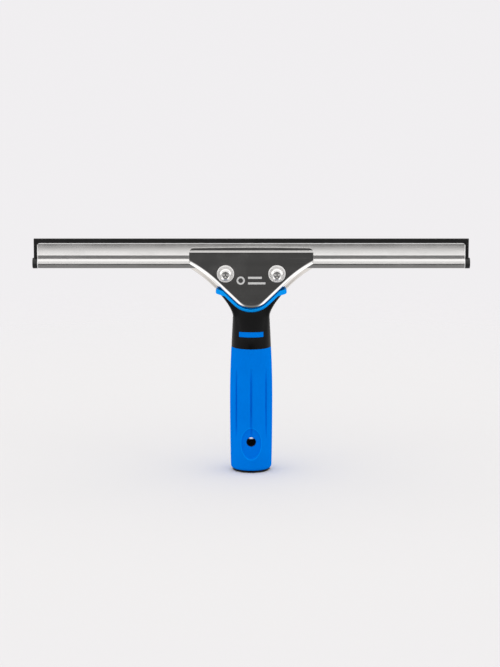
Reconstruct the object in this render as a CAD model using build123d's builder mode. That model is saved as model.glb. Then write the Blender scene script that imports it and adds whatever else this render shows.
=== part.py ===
from build123d import *
import os
from math import atan2, copysign, cos, pi, sin, sqrt, tan

os.makedirs("parts", exist_ok=True)

# A hand-held window squeegee, standing on the end of its handle. X runs along
# the blade, Z runs up the handle and the screws face -Y. The origin is the
# centre of the foot. Lengths are in millimetres, angles in degrees.

# Overall sizes
channel_length = 350.0
cap_height = 1.8
grip_length = 102.8
neck_length = 31.8          # top of the grip to the keel of the front jaw
keel_to_tube = 37.4         # keel of the front jaw to the middle of the tube

# Clearances
slide_gap = 0.20            # rubber inside the channel
tube_gap = 0.30             # tube to both jaws and to the spacers under it
clamp_gap = 0.15            # jaw lip to the channel's legs
seat_gap = 0.20             # front jaw inside its cradle
run_gap = 0.05              # screw inside nut and spacer
hole_gap = 0.25             # screw inside a jaw's hole
pin_gap = 0.10              # clip's pin inside the rubber

# Channel: one folded strip, a tube with two legs that hold the rubber
channel_sheet = 0.7
tube_radius = 4.3
pinch_half = 2.35           # half the outer thickness where the tube is pinched
pinch_rise = 0.3            # all three rises are over the top of the tube
belly_half = 3.0
belly_rise = 2.9
mouth_half = 2.2
mouth_rise = 12.5
channel_corner = 2.3

# Rubber blade
blade_overhang = 2.85       # past each end of the channel
blade_exposure = 3.4        # over the top of the channel

# End clips
clip_wall = 1.0
clip_pin_radius = 1.0
clip_pin_length = 9.0
clip_round = 0.6

# Clamp jaws, pressed from one gauge of sheet
jaw_sheet = 1.2
jaw_half = 50.6
jaw_rise = 9.2              # top of the lips over the top of the tube
jaw_corner = 3.5
crown_radius = 2600.0
lip_height = 2.2
joggle_height = 0.6
keel_radius = 18.0
flank_angle = 44.0
flank_length = 24.3
shoulder_angle = 30.0
flare_radius = 107.0
front_curl = 3.2
rear_curl = 5.0             # also how far the rear jaw stands out round the front one
rear_depth = 6.8
notch_radius = 0.9
notch_over_tube_axis = 2.1

# M5 screws, washers, nuts and the spacer tubes between the jaws
screw_radius = 2.5
screw_length = 20.0
screw_half_pitch = 21.0
head_radius = 5.0
head_height = 3.8
head_round = 2.4
cross_width = 1.3
cross_span = 5.4
cross_depth = 2.4
washer_radius = 7.0
washer_thickness = 1.2
nut_across_flats = 8.0
nut_thickness = 4.7
spacer_wall = 0.45
spacer_gap = 0.1            # spacer to the back of the closed front jaw

# Core of the handle, with a socket for an extension pole
socket_radius = 11.0
core_wall = 1.7
core_roof = 6.0             # solid plug over the socket
core_over_grip = 1.2        # top of that plug over the top of the grip
tongue_half = 12.0
tongue_front_y = -4.0
tongue_to_tube = 1.2
rivet_radius = 1.6
rivet_head_radius = 3.0
rivet_head_height = 1.3
rivet_half_pitch = 7.5
rivet_over_keel = 14.0

# Grip, neck, cradle and end cap
foot_wall = 4.1             # walls over the core, measured along X
belly_wall = 4.8
top_wall = 3.6
waist_wall = 2.4
grip_belly_share = 0.575    # height of the widest place, as a share of the grip
depth_ratio = 0.925
grip_foot_round = 2.4
groove_count = 8
groove_width = 1.1
groove_depth = 0.9
groove_foot = 31.0
groove_under_top = 18.6
hole_radius = 4.0
hole_height = 26.3
recess_half = 8.65
recess_height = 27.0
recess_centre = 25.0
recess_depth = 0.8
waist_under_keel = 6.3
ear_half = 28.6             # half width of the black neck at the ears
ear_over_keel = 15.2
cradle_front = 6.6
cradle_back = 10.6
lip_thickness = 2.1
ear_radius = 1.85
ear_root_x = 22.6
ear_root_over_keel = 13.0
ear_tip_x = 27.2
ear_tip_over_keel = 14.5
neck_over_ear_root = 0.4    # the neck stops under the ears of its lip
inlay_half = 10.0
inlay_height = 4.2
inlay_back_y = -9.5
inlay_over_grip = 11.8
cap_inset = 1.3
cap_round = 1.0
collar_wall = 0.8
collar_height = 6.0

# Levels and faces worked out from the sizes above
grip_top = cap_height + grip_length
keel_z = grip_top + neck_length
tube_z = keel_z + keel_to_tube
tube_top = tube_z + tube_radius
channel_top = tube_top + mouth_rise
jaw_top = tube_top + jaw_rise
blade_top = channel_top + blade_exposure
bead_radius = tube_radius - channel_sheet - slide_gap
web_half = mouth_half - channel_sheet - slide_gap / 2
front_lip_y = -(belly_half + clamp_gap + jaw_sheet)
rear_lip_y = belly_half + clamp_gap
bend_z = jaw_top - lip_height - joggle_height
front_face_y = -(tube_radius + tube_gap + front_curl)
rear_face_y = tube_radius + tube_gap
front_back_y = front_face_y + jaw_sheet
rear_back_y = rear_face_y + jaw_sheet
spacer_radius = screw_radius + run_gap + spacer_wall
screw_z = tube_z - tube_radius - tube_gap - spacer_radius
washer_face_y = front_face_y - washer_thickness
core_radius = socket_radius + core_wall
core_top = grip_top + core_over_grip
socket_depth = core_top - core_roof - cap_height
grip_foot_half = core_radius + foot_wall
grip_belly_half = core_radius + belly_wall
grip_top_half = core_radius + top_wall
waist_half = core_radius + waist_wall
ear_z = keel_z + ear_over_keel
beyond = 4 * jaw_half       # a length that clears the whole clamp


def front_plane(y):
    """Plane seen from the front, at depth y: local x is X and local y is Z."""
    return Plane.XZ.offset(-y)


def export(node, name):
    node.part.label = name
    export_step(node.part, f"parts/{name}.step")


# ---------------------------------------------------------------- channel

def channel_outline(inset, opening):
    """Section of the folded strip moved in by inset, its legs run up by opening."""
    with Locations((0, tube_z)):
        Circle(tube_radius - inset)
    half = [
        (pinch_half - inset, tube_z),
        (pinch_half - inset, tube_top + pinch_rise),
        (belly_half - inset, tube_top + belly_rise),
        (mouth_half - inset, channel_top),
        (mouth_half - inset, channel_top + opening),
    ]
    if not opening:
        half.pop()
    with BuildLine() as legs:
        Polyline(*half, *[(-y, z) for y, z in reversed(half)], close=True)
    make_face(legs.edges())


with BuildPart() as channel:
    with BuildSketch(Plane.YZ):
        channel_outline(0, 0)
        fillet(vertices().group_by(Axis.Y)[-1], channel_sheet / 2)
    extrude(amount=channel_length / 2, both=True)
    with BuildSketch(Plane.YZ):
        channel_outline(channel_sheet, channel_sheet)
    extrude(amount=channel_length / 2, both=True, mode=Mode.SUBTRACT)
    with BuildSketch(Plane.XZ):
        with Locations((0, tube_z - tube_radius)):
            Rectangle(channel_length, 2 * tube_radius + mouth_rise, align=(Align.CENTER, Align.MIN))
        fillet(vertices().group_by(Axis.Y)[-1], channel_corner)
    extrude(amount=tube_radius, both=True, mode=Mode.INTERSECT)
export(channel, "channel")

# ---------------------------------------------------------------- rubber

blade_half = channel_length / 2 + blade_overhang

with BuildPart() as rubber_blade:
    with BuildSketch(Plane.YZ):
        with Locations((0, tube_z)):
            Circle(bead_radius)
            Rectangle(2 * web_half, blade_top - tube_z, align=(Align.CENTER, Align.MIN))
    extrude(amount=blade_half, both=True)
    with BuildSketch(Plane.YZ.offset(-blade_half), Plane.YZ.offset(blade_half)):
        with Locations((0, tube_z)):
            Circle(clip_pin_radius + pin_gap)
    extrude(amount=clip_pin_length + 1, both=True, mode=Mode.SUBTRACT)
export(rubber_blade, "rubber_blade")


def end_clip(side):
    """Cup over the end of the rubber, with a pin into it. side is -1 or 1."""
    mouth = Plane(origin=(side * channel_length / 2, 0, tube_z), x_dir=(0, 1, 0), z_dir=(side, 0, 0))
    floor = blade_overhang + slide_gap
    with BuildPart() as clip:
        with BuildSketch(mouth.offset(pin_gap)):
            Circle(tube_radius + pin_gap)
        extrude(amount=floor + clip_wall - pin_gap)
        fillet(clip.edges().sort_by(Axis(mouth.origin, mouth.z_dir))[-1], clip_round)
        with BuildSketch(mouth):
            Circle(bead_radius + slide_gap)
        extrude(amount=floor, mode=Mode.SUBTRACT)
        with BuildSketch(Plane.XY.offset(tube_z)):
            with Locations((side * channel_length / 2, 0)):
                Rectangle(2 * floor, 2 * (web_half + slide_gap))
        extrude(amount=2 * tube_radius, mode=Mode.SUBTRACT)
        with BuildSketch(mouth.offset(floor)):
            Circle(clip_pin_radius)
        extrude(amount=-clip_pin_length)
    return clip


for side, name in ((-1, "left_end_clip"), (1, "right_end_clip")):
    export(end_clip(side), name)

# ---------------------------------------------------------------- jaws

def vee(inset):
    """Jaw outline to the open sketch: round keel, straight flanks, flared wings."""
    with BuildLine() as outline:
        keel = JernArc((0, keel_z + inset), (1, 0), keel_radius - inset, flank_angle)
        flank = Line(keel @ 1, keel @ 1 + (keel % 1) * flank_length)
        turn = shoulder_angle - flank_angle
        flare = JernArc(flank @ 1, flank % 1, flare_radius + inset, turn)
        wing = Line(flare @ 1, flare @ 1 + (flare % 1) * jaw_half)
        top = (0, (wing @ 1).Y + jaw_half)
        Line(wing @ 1, ((wing @ 1).X, top[1]))
        Line(((wing @ 1).X, top[1]), top)
        mirror(about=Plane.YZ)
    make_face(outline.edges())


def jaw_form(face_y, lip_y, bend_height, inset, curl, half_width, top):
    """One side of a pressed jaw as a deep solid: its outer skin, or the hollow behind it."""
    back_y = face_y + 2 * rear_depth
    with BuildPart() as form:
        with BuildSketch(front_plane(face_y)):
            vee(inset)
            with Locations((0, top)):
                Rectangle(2 * half_width, beyond, mode=Mode.INTERSECT)
            with Locations((0, top - crown_radius)):
                Circle(crown_radius, mode=Mode.INTERSECT)
            if half_width == jaw_half:
                fillet(vertices().group_by(Axis.Y)[-1], jaw_corner)
        extrude(amount=-beyond, both=True)
        section = [
            (face_y, 0),
            (face_y, bend_height),
            (lip_y, bend_height + joggle_height),
            (lip_y, top + 1),
            (back_y, top + 1),
            (back_y, 0),
        ]
        with BuildSketch(Plane.YZ):
            with BuildLine():
                Polyline(*section, close=True)
            make_face()
        extrude(amount=beyond, both=True, mode=Mode.INTERSECT)
        face_edges = form.edges().filter_by_position(Axis.Y, face_y - 0.01, face_y + 0.01)
        fillet(face_edges.filter_by(lambda edge: edge.center().Z < tube_z), curl)
    return form.part


def pressed_jaw(face_y, lip_y, spread, curl):
    """Skin and hollow of a jaw whose outline is spread out by spread."""
    joggle = lip_y - face_y
    lean = jaw_sheet * tan(atan2(joggle, joggle_height) / 2)
    skin = jaw_form(face_y, lip_y, bend_z, -spread, curl, jaw_half, jaw_top)
    hollow = jaw_form(
        face_y + jaw_sheet, lip_y + jaw_sheet, bend_z - lean, jaw_sheet - spread,
        curl - jaw_sheet, jaw_half + jaw_sheet, jaw_top + jaw_sheet,
    )
    return skin, hollow


screw_spots = [(-screw_half_pitch, screw_z), (screw_half_pitch, screw_z)]
rivet_z = keel_z + rivet_over_keel
rivet_spots = [(-rivet_half_pitch, rivet_z), (rivet_half_pitch, rivet_z)]

front_skin, front_hollow = pressed_jaw(front_face_y, front_lip_y, 0, front_curl)

with BuildPart() as front_jaw:
    add(front_skin)
    add(front_hollow, mode=Mode.SUBTRACT)
    with BuildSketch(Plane.YZ):
        with Locations((front_face_y + front_curl, bend_z - 2 * jaw_sheet)):
            Rectangle(beyond, beyond, align=(Align.MIN, Align.MAX))
    extrude(amount=beyond, both=True, mode=Mode.SUBTRACT)
    with BuildSketch(front_plane(front_face_y)):
        with Locations(*screw_spots):
            Circle(screw_radius + hole_gap)
        notch_z = tube_z + notch_over_tube_axis
        with Locations((-jaw_half, notch_z), (jaw_half, notch_z)):
            Circle(notch_radius)
    extrude(amount=beyond, both=True, mode=Mode.SUBTRACT)
export(front_jaw, "front_jaw")

rear_skin, rear_hollow = pressed_jaw(rear_face_y, rear_lip_y, rear_curl, rear_curl)

with BuildPart() as rear_jaw:
    add(rear_skin)
    add(rear_hollow, mode=Mode.SUBTRACT)
    split(bisect_by=front_plane(rear_face_y + rear_depth), keep=Keep.TOP)
    with BuildSketch(front_plane(rear_face_y)):
        with Locations(*screw_spots):
            Circle(screw_radius + hole_gap)
        with Locations(*rivet_spots):
            Circle(rivet_radius)
    extrude(amount=-beyond, mode=Mode.SUBTRACT)
export(rear_jaw, "rear_jaw")

# ---------------------------------------------------------------- fasteners

def fastener_plane(x, y):
    """Plane at depth y across a screw's axis, looking out of the head."""
    return Plane(origin=(x, y, screw_z), x_dir=(1, 0, 0), z_dir=(0, -1, 0))


for side, x in (("left", -screw_half_pitch), ("right", screw_half_pitch)):
    with BuildPart() as screw:
        with BuildSketch(fastener_plane(x, washer_face_y)):
            Circle(screw_radius)
        extrude(amount=-screw_length)
        chamfer(screw.edges().sort_by(Axis.Y)[-1], 0.5)
        with BuildSketch(fastener_plane(x, washer_face_y)):
            Circle(head_radius)
        extrude(amount=head_height)
        fillet(screw.edges().sort_by(Axis.Y)[0], head_round)
        with BuildSketch(fastener_plane(x, washer_face_y - head_height)):
            Rectangle(cross_span, cross_width)
            Rectangle(cross_width, cross_span)
        extrude(amount=-cross_depth, taper=12, mode=Mode.SUBTRACT)
    export(screw, f"{side}_screw")

    with BuildPart() as washer:
        with BuildSketch(fastener_plane(x, front_face_y)):
            Circle(washer_radius)
            Circle(screw_radius + hole_gap, mode=Mode.SUBTRACT)
        extrude(amount=washer_thickness)
        fillet(washer.edges().group_by(Axis.Y)[0].sort_by(SortBy.LENGTH)[-1], washer_thickness / 3)
    export(washer, f"{side}_washer")

    with BuildPart() as nut:
        with BuildSketch(fastener_plane(x, rear_back_y)):
            RegularPolygon(nut_across_flats / sqrt(3), 6)
            Circle(screw_radius + run_gap, mode=Mode.SUBTRACT)
        extrude(amount=-nut_thickness)
    export(nut, f"{side}_nut")

    with BuildPart() as spacer:
        with BuildSketch(fastener_plane(x, rear_face_y)):
            Circle(spacer_radius)
            Circle(screw_radius + run_gap, mode=Mode.SUBTRACT)
        extrude(amount=rear_face_y - front_back_y - spacer_gap)
    export(spacer, f"{side}_spacer")

# ---------------------------------------------------------------- handle core

with BuildPart() as handle_core:
    with BuildSketch(Plane.XY.offset(cap_height)):
        Circle(core_radius)
    extrude(amount=core_top - cap_height)
    with BuildSketch(front_plane(tongue_front_y)):
        tongue_top = tube_z - tube_radius - tongue_to_tube
        with Locations((0, grip_top)):
            Rectangle(2 * tongue_half, tongue_top - grip_top, align=(Align.CENTER, Align.MIN))
        fillet(vertices().group_by(Axis.Y)[-1], tongue_half / 3)
    extrude(amount=tongue_front_y - rear_face_y)
    with BuildSketch(Plane.XY.offset(cap_height)):
        Circle(socket_radius)
    extrude(amount=socket_depth, mode=Mode.SUBTRACT)
    with BuildSketch(Plane.XY.offset(cap_height)):
        Circle(core_radius)
        Circle(core_radius - collar_wall, mode=Mode.SUBTRACT)
    extrude(amount=collar_height, mode=Mode.SUBTRACT)
    with BuildSketch(Plane.XZ):
        with Locations((0, hole_height)):
            Circle(hole_radius)
        with Locations(*rivet_spots):
            Circle(rivet_radius)
    extrude(amount=beyond, both=True, mode=Mode.SUBTRACT)
export(handle_core, "handle_core")

with BuildPart() as tongue_rivets:
    with BuildSketch(front_plane(tongue_front_y)):
        with Locations(*rivet_spots):
            Circle(rivet_radius)
    extrude(amount=tongue_front_y - rear_back_y)
    with BuildSketch(front_plane(tongue_front_y)):
        with Locations(*rivet_spots):
            Circle(rivet_head_radius)
    extrude(amount=rivet_head_height)
    with BuildSketch(front_plane(rear_back_y)):
        with Locations(*rivet_spots):
            Circle(rivet_head_radius)
    extrude(amount=-rivet_head_height)
    head_rims = tongue_rivets.edges().group_by(Axis.Y)
    fillet(head_rims[0] + head_rims[-1], rivet_head_height * 0.6)
export(tongue_rivets, "tongue_rivets")

# ---------------------------------------------------------------- grip

belly_z = cap_height + grip_belly_share * grip_length
groove_top = grip_top - groove_under_top


def grip_half(z):
    """Half width of the grip at height z: it falls off as a parabola either way."""
    end_half, end_z = (grip_foot_half, cap_height) if z < belly_z else (grip_top_half, grip_top)
    return grip_belly_half - (grip_belly_half - end_half) * ((z - belly_z) / (end_z - belly_z)) ** 2


with BuildPart() as recess_block:
    with BuildSketch(Plane.XZ):
        with Locations((0, recess_centre)):
            Ellipse(recess_half, recess_height / 2)
    extrude(amount=beyond, both=True)
    with BuildSketch(Plane.XY):
        floor_half = grip_half(recess_centre) - recess_depth
        Ellipse(floor_half, floor_half * depth_ratio - recess_depth * (1 - depth_ratio))
    extrude(amount=grip_top, mode=Mode.SUBTRACT)

with BuildPart() as grip_sleeve:
    grip_steps = 6
    for step in range(grip_steps + 1):
        level = cap_height + grip_length * step / grip_steps
        with BuildSketch(Plane.XY.offset(level)):
            Ellipse(grip_half(level), grip_half(level) * depth_ratio)
    loft()
    fillet(grip_sleeve.edges().sort_by(Axis.Z)[0], grip_foot_round)
    add(recess_block.part, mode=Mode.SUBTRACT)
    for turn in range(groove_count):
        angle = 2 * pi * turn / groove_count
        reach = 1 / sqrt(cos(angle) ** 2 + (sin(angle) / depth_ratio) ** 2)
        radial = Plane(origin=(0, 0, 0), x_dir=(cos(angle), sin(angle), 0), z_dir=(sin(angle), -cos(angle), 0))
        with BuildSketch(radial):
            with BuildLine():
                foot = (grip_half(groove_foot) * reach, groove_foot)
                crest = (grip_half(groove_top) * reach, groove_top)
                middle = (grip_half(belly_z) * reach - groove_depth, (groove_foot + groove_top) / 2)
                ThreePointArc(foot, middle, crest)
                outside = grip_belly_half + groove_depth
                Polyline(crest, (outside, groove_top), (outside, groove_foot), foot)
            make_face()
        extrude(amount=groove_width / 2, both=True, mode=Mode.SUBTRACT)
    with BuildSketch(Plane.XY):
        Circle(core_radius)
    extrude(amount=beyond, mode=Mode.SUBTRACT)
    with BuildSketch(Plane.XZ):
        with Locations((0, hole_height)):
            Circle(hole_radius)
    extrude(amount=beyond, both=True, mode=Mode.SUBTRACT)
export(grip_sleeve, "grip_sleeve")

with BuildPart() as end_cap:
    with BuildSketch():
        Ellipse(grip_foot_half - cap_inset, grip_foot_half * depth_ratio - cap_inset)
    extrude(amount=cap_height)
    fillet(end_cap.edges().sort_by(Axis.Z)[0], cap_round)
    with BuildSketch(Plane.XY.offset(cap_height)):
        Circle(core_radius)
        Circle(core_radius - collar_wall, mode=Mode.SUBTRACT)
    extrude(amount=collar_height)
    with BuildSketch():
        Circle(socket_radius)
    extrude(amount=beyond, mode=Mode.SUBTRACT)
export(end_cap, "end_cap")

# ---------------------------------------------------------------- neck and cradle

outline_points = 24
waist_z = keel_z - waist_under_keel
neck_top = keel_z + ear_root_over_keel + neck_over_ear_root


def neck_outline(z):
    """Superellipse across the neck at height z: oval at the grip, squarer at the ears."""
    rise = (z - grip_top) / (neck_top - grip_top)
    if z < waist_z:
        half = grip_top_half + (waist_half - grip_top_half) * (z - grip_top) / (waist_z - grip_top)
    else:
        half = waist_half + (ear_half - waist_half) * ((z - waist_z) / (ear_z - waist_z)) ** 1.5
    grip_depth = grip_top_half * depth_ratio
    share = (1 + cos(pi * rise)) / 2
    front_depth = cradle_front + (grip_depth - cradle_front) * share
    back_depth = cradle_back + (grip_depth - cradle_back) * share
    power = 2 / (2 + 3 * rise**2)
    points = []
    for step in range(outline_points):
        angle = 2 * pi * step / outline_points
        c, s = cos(angle), sin(angle)
        depth = back_depth if s > 0 else front_depth
        points.append((half * copysign(abs(c) ** power, c), depth * copysign(abs(s) ** power, s)))
    return points


with BuildPart() as neck_blank:
    neck_steps = 7
    for step in range(neck_steps + 1):
        level = grip_top + (neck_top - grip_top) * step / neck_steps
        with BuildSketch(Plane.XY.offset(level)):
            with BuildLine():
                Spline(*neck_outline(level), periodic=True)
            make_face()
    loft()

ear_rise = ear_tip_over_keel - ear_root_over_keel
ear_run = ear_tip_x - ear_root_x
ear_length = sqrt(ear_run**2 + ear_rise**2)
ear_tilt = atan2(ear_rise, ear_run) * 180 / pi

with BuildPart() as cradle_lip:
    with BuildSketch(front_plane(-cradle_front)):
        vee(-seat_gap - lip_thickness)
        with Locations((0, keel_z + ear_root_over_keel)):
            Rectangle(2 * ear_root_x, beyond, align=(Align.CENTER, Align.MAX), mode=Mode.INTERSECT)
        for side in (-1, 1):
            middle = (side * (ear_root_x + ear_run / 2), keel_z + ear_root_over_keel + ear_rise / 2)
            with Locations(middle):
                SlotCenterToCenter(ear_length, 2 * ear_radius, rotation=side * ear_tilt)
    extrude(amount=-cradle_front - rear_face_y)
    with BuildSketch(front_plane(-cradle_front)):
        vee(-seat_gap)
    extrude(amount=-beyond, both=True, mode=Mode.SUBTRACT)
    add(handle_core.part, mode=Mode.SUBTRACT)
export(cradle_lip, "cradle_lip")

with BuildPart() as neck_inlay:
    add(neck_blank.part)
    with BuildSketch(front_plane(-grip_top_half)):
        with Locations((0, grip_top + inlay_over_grip)):
            Rectangle(2 * inlay_half, inlay_height)
    extrude(amount=-grip_top_half - inlay_back_y, mode=Mode.INTERSECT)
export(neck_inlay, "neck_inlay")

with BuildPart() as neck_shell:
    add(neck_blank.part)
    with BuildSketch(front_plane(-beyond)):
        vee(-seat_gap - lip_thickness)
    extrude(amount=-beyond - rear_face_y, mode=Mode.SUBTRACT)
    with BuildSketch(front_plane(rear_face_y)):
        vee(-rear_curl)
    extrude(amount=-beyond, mode=Mode.SUBTRACT)
    add(cradle_lip.part, mode=Mode.SUBTRACT)
    add(neck_inlay.part, mode=Mode.SUBTRACT)
    add(handle_core.part, mode=Mode.SUBTRACT)
export(neck_shell, "neck_shell")
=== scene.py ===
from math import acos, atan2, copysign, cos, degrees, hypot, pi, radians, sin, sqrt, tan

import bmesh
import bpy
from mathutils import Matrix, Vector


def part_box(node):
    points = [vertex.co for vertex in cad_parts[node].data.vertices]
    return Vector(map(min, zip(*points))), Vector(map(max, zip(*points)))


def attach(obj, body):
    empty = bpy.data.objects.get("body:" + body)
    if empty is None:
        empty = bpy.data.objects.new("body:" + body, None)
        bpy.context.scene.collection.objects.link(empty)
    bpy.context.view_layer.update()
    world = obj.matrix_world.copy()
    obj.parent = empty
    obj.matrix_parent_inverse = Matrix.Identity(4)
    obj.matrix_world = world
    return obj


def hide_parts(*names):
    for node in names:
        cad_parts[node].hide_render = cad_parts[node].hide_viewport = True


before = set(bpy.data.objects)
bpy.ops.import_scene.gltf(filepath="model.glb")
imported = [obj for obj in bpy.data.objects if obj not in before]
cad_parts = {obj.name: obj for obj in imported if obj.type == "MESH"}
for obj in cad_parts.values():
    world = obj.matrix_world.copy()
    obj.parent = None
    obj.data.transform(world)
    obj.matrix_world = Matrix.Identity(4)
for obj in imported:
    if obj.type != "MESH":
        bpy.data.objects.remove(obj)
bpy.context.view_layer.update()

# %% [markdown]
# # A window squeegee, piece by piece
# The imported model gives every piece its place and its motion. This lesson
# remakes the visible pieces with Blender's mesh operators, gives each its
# finish, and stands the squeegee in a plain studio. All shapes are worked out
# in millimetres and turned into metres at the very end, because a boolean cut
# behaves better on numbers near one than on numbers near a thousandth.

MM = 0.001
scene = bpy.context.scene


def node_box(node):
    """A CAD node's lowest and highest corner in millimetres."""
    low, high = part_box(node)
    return low / MM, high / MM


jaw_low, jaw_high = node_box("front_jaw")
rear_low, rear_high = node_box("rear_jaw")
channel_low, channel_high = node_box("channel")
blade_low, blade_high = node_box("rubber_blade")
grip_low, grip_high = node_box("grip_sleeve")
cap_low, cap_high = node_box("end_cap")
washer_low, washer_high = node_box("left_washer")
screw_low, screw_high = node_box("left_screw")
nut_low, nut_high = node_box("left_nut")
rivets_low, rivets_high = node_box("tongue_rivets")

KEEL_Z = jaw_low.z
JAW_TOP = jaw_high.z
JAW_HALF = jaw_high.x
JAW_SHEET = 1.2
GRIP_FOOT = grip_low.z
GRIP_TOP = grip_high.z
CHANNEL_HALF = channel_high.x
CHANNEL_TOP = channel_high.z
TUBE_RADIUS = channel_high.y
TUBE_Z = channel_low.z + TUBE_RADIUS
SCREW_X = (washer_high.x + washer_low.x) / -2      # the left washer lies at minus X
SCREW_Z = (washer_high.z + washer_low.z) / 2
OVAL_HALF_X, OVAL_HALF_Z, OVAL_Z = 8.65, 13.5, 25.0     # the oval round the hang hole
print("keel", round(KEEL_Z, 2), "jaw top", round(JAW_TOP, 2), "tube axis", round(TUBE_Z, 2))
print("screws at", round(SCREW_X, 2), round(SCREW_Z, 2))

# %% [markdown]
# ## The camera
# The squeegee is seen square on and from a little above. A long lens from far
# off keeps the blade's two ends the same size, as a product picture does.

# %% Camera
CAMERA_TILT = radians(11.5)
CAMERA_REACH = 2.2
CAMERA_AIM = Vector((-0.0010, 0.0, 0.1149))
look_back = Vector((0, -cos(CAMERA_TILT), sin(CAMERA_TILT)))
lens = bpy.data.cameras.new("studio_camera")
lens.sensor_width = 36
lens.lens = 144.2
lens.clip_end = 50
camera = bpy.data.objects.new("studio_camera", lens)
scene.collection.objects.link(camera)
camera.location = CAMERA_AIM + look_back * CAMERA_REACH
camera.rotation_euler = look_back.to_track_quat("Z", "Y").to_euler()
scene.camera = camera
print("camera", [round(value, 3) for value in camera.location])

# %% [markdown]
# ## Helpers for building
# Each piece starts as a bmesh, because its operators say how a maker would
# shape the thing: turn it, bend it, press it. These helpers turn a bmesh into
# an object, run one boolean cut, and do the few operations that most of the
# pieces share, so that each piece below is only its own measures and steps.

# %% From bmesh to object, and one boolean cut


def as_object(bm, name):
    """An object from a bmesh, with its doubles merged and its faces turned outwards."""
    bmesh.ops.remove_doubles(bm, verts=bm.verts, dist=0.0005)
    bmesh.ops.recalc_face_normals(bm, faces=bm.faces)
    mesh = bpy.data.meshes.new(name)
    bm.to_mesh(mesh)
    bm.free()
    piece = bpy.data.objects.new(name, mesh)
    scene.collection.objects.link(piece)
    return piece


def bake_modifiers(piece):
    """Replace a piece's mesh by what its modifiers make of it."""
    bpy.context.view_layer.update()
    graph = bpy.context.evaluated_depsgraph_get()
    mesh = bpy.data.meshes.new_from_object(piece.evaluated_get(graph))
    piece.modifiers.clear()
    piece.data = mesh


def carve(piece, *tools, operation="DIFFERENCE", tight_folds=False):
    """Cut, join or trim a piece with each tool in turn, then drop the tool."""
    for tool in tools:
        modifier = piece.modifiers.new("carve", "BOOLEAN")
        modifier.operation = operation
        modifier.solver = "EXACT"
        modifier.use_self = tight_folds
        modifier.object = tool
        bake_modifiers(piece)
        bpy.data.objects.remove(tool)
    return piece


def give_gauge(sheet, thickness):
    """Thicken a sheet behind its outer skin."""
    gauge = sheet.modifiers.new("gauge", "SOLIDIFY")
    gauge.thickness = thickness
    gauge.offset = -1
    gauge.use_even_offset = True
    bake_modifiers(sheet)


# %% Steps that most pieces share


def verts_in(geometry):
    """The vertices among the things that an operator gave back."""
    return [item for item in geometry if isinstance(item, bmesh.types.BMVert)]


def raise_faces(bm, offset):
    """Draw a flat face out by an offset, which makes it a solid."""
    raised = bmesh.ops.extrude_face_region(bm, geom=bm.faces[:])
    bmesh.ops.translate(bm, vec=offset, verts=verts_in(raised["geom"]))


def round_off(bm, geom, offset, segments, affect="EDGES", clamp=True):
    """Round some edges, or some corners of a flat face."""
    bmesh.ops.bevel(
        bm, geom=geom, offset=offset, offset_type="OFFSET", affect=affect,
        segments=segments, profile=0.5, material=-1, clamp_overlap=clamp,
    )


# %% Solid forms from operators


def block(low, high, name="tool_block"):
    """A box between two corners."""
    bm = bmesh.new()
    bmesh.ops.create_cube(bm, size=1)
    low, high = Vector(low), Vector(high)
    bmesh.ops.scale(bm, vec=high - low, verts=bm.verts)
    bmesh.ops.translate(bm, vec=(low + high) / 2, verts=bm.verts)
    return as_object(bm, name)


def rod(radius, start, end, segments=64, name="tool_rod"):
    """A cylinder between two points."""
    bm = bmesh.new()
    start, end = Vector(start), Vector(end)
    length = (end - start).length
    bmesh.ops.create_cone(bm, cap_ends=True, segments=segments, radius1=radius, radius2=radius, depth=length)
    turn = (end - start).to_track_quat("Z", "Y").to_matrix()
    bmesh.ops.rotate(bm, cent=(0, 0, 0), matrix=turn, verts=bm.verts)
    bmesh.ops.translate(bm, vec=(start + end) / 2, verts=bm.verts)
    return as_object(bm, name)


def rod_pair(radius, x, z, start_y, end_y, segments=64):
    """Two rods along Y, one on each side, to drill a pair of holes."""
    return [rod(radius, (side * x, start_y, z), (side * x, end_y, z), segments) for side in (-1, 1)]


def turned(profile, centre, axis, name, steps=96, closed=True):
    """Turn a profile of (radius, height) points about an axis, as on a lathe."""
    bm = bmesh.new()
    verts = [bm.verts.new((radius, 0, height)) for radius, height in profile]
    edges = [bm.edges.new(pair) for pair in zip(verts, verts[1:])]
    if closed:
        edges.append(bm.edges.new((verts[-1], verts[0])))
    bmesh.ops.spin(
        bm, geom=verts + edges, cent=(0, 0, 0), axis=(0, 0, 1), dvec=(0, 0, 0),
        angle=2 * pi, steps=steps, use_merge=True, use_duplicate=False,
    )
    turn = Vector(axis).to_track_quat("Z", "Y").to_matrix()
    bmesh.ops.rotate(bm, cent=(0, 0, 0), matrix=turn, verts=bm.verts)
    bmesh.ops.translate(bm, vec=centre, verts=bm.verts)
    return as_object(bm, name)


def arc_points(centre, radius, start, end, steps):
    """Points of (radius, height) along a round edge of a turned profile, angles in degrees."""
    return [
        (
            centre[0] + radius * cos(radians(start + (end - start) * step / steps)),
            centre[1] + radius * sin(radians(start + (end - start) * step / steps)),
        )
        for step in range(steps + 1)
    ]


# %% [markdown]
# ## The jaw's outline
# Both jaws, the blue lip and the black neck follow one line: a round keel in
# the middle, a straight flank at 44 degrees, and a wing that flares out to 30
# degrees. The line is grown from one point: spin makes the arcs and an
# extrusion makes the straights. Moved in or out, it makes every one of them,
# where separate outlines would have to be fitted to each other by hand.

# %% One half of the outline, grown from a point
KEEL_RADIUS = 18.0
FLANK_ANGLE = 44.0
FLANK_LENGTH = 24.3
SHOULDER_ANGLE = 30.0
FLARE_RADIUS = 107.0
KEEL_STEPS, FLANK_STEPS, FLARE_STEPS, WING_STEPS = 14, 6, 10, 4


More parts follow.
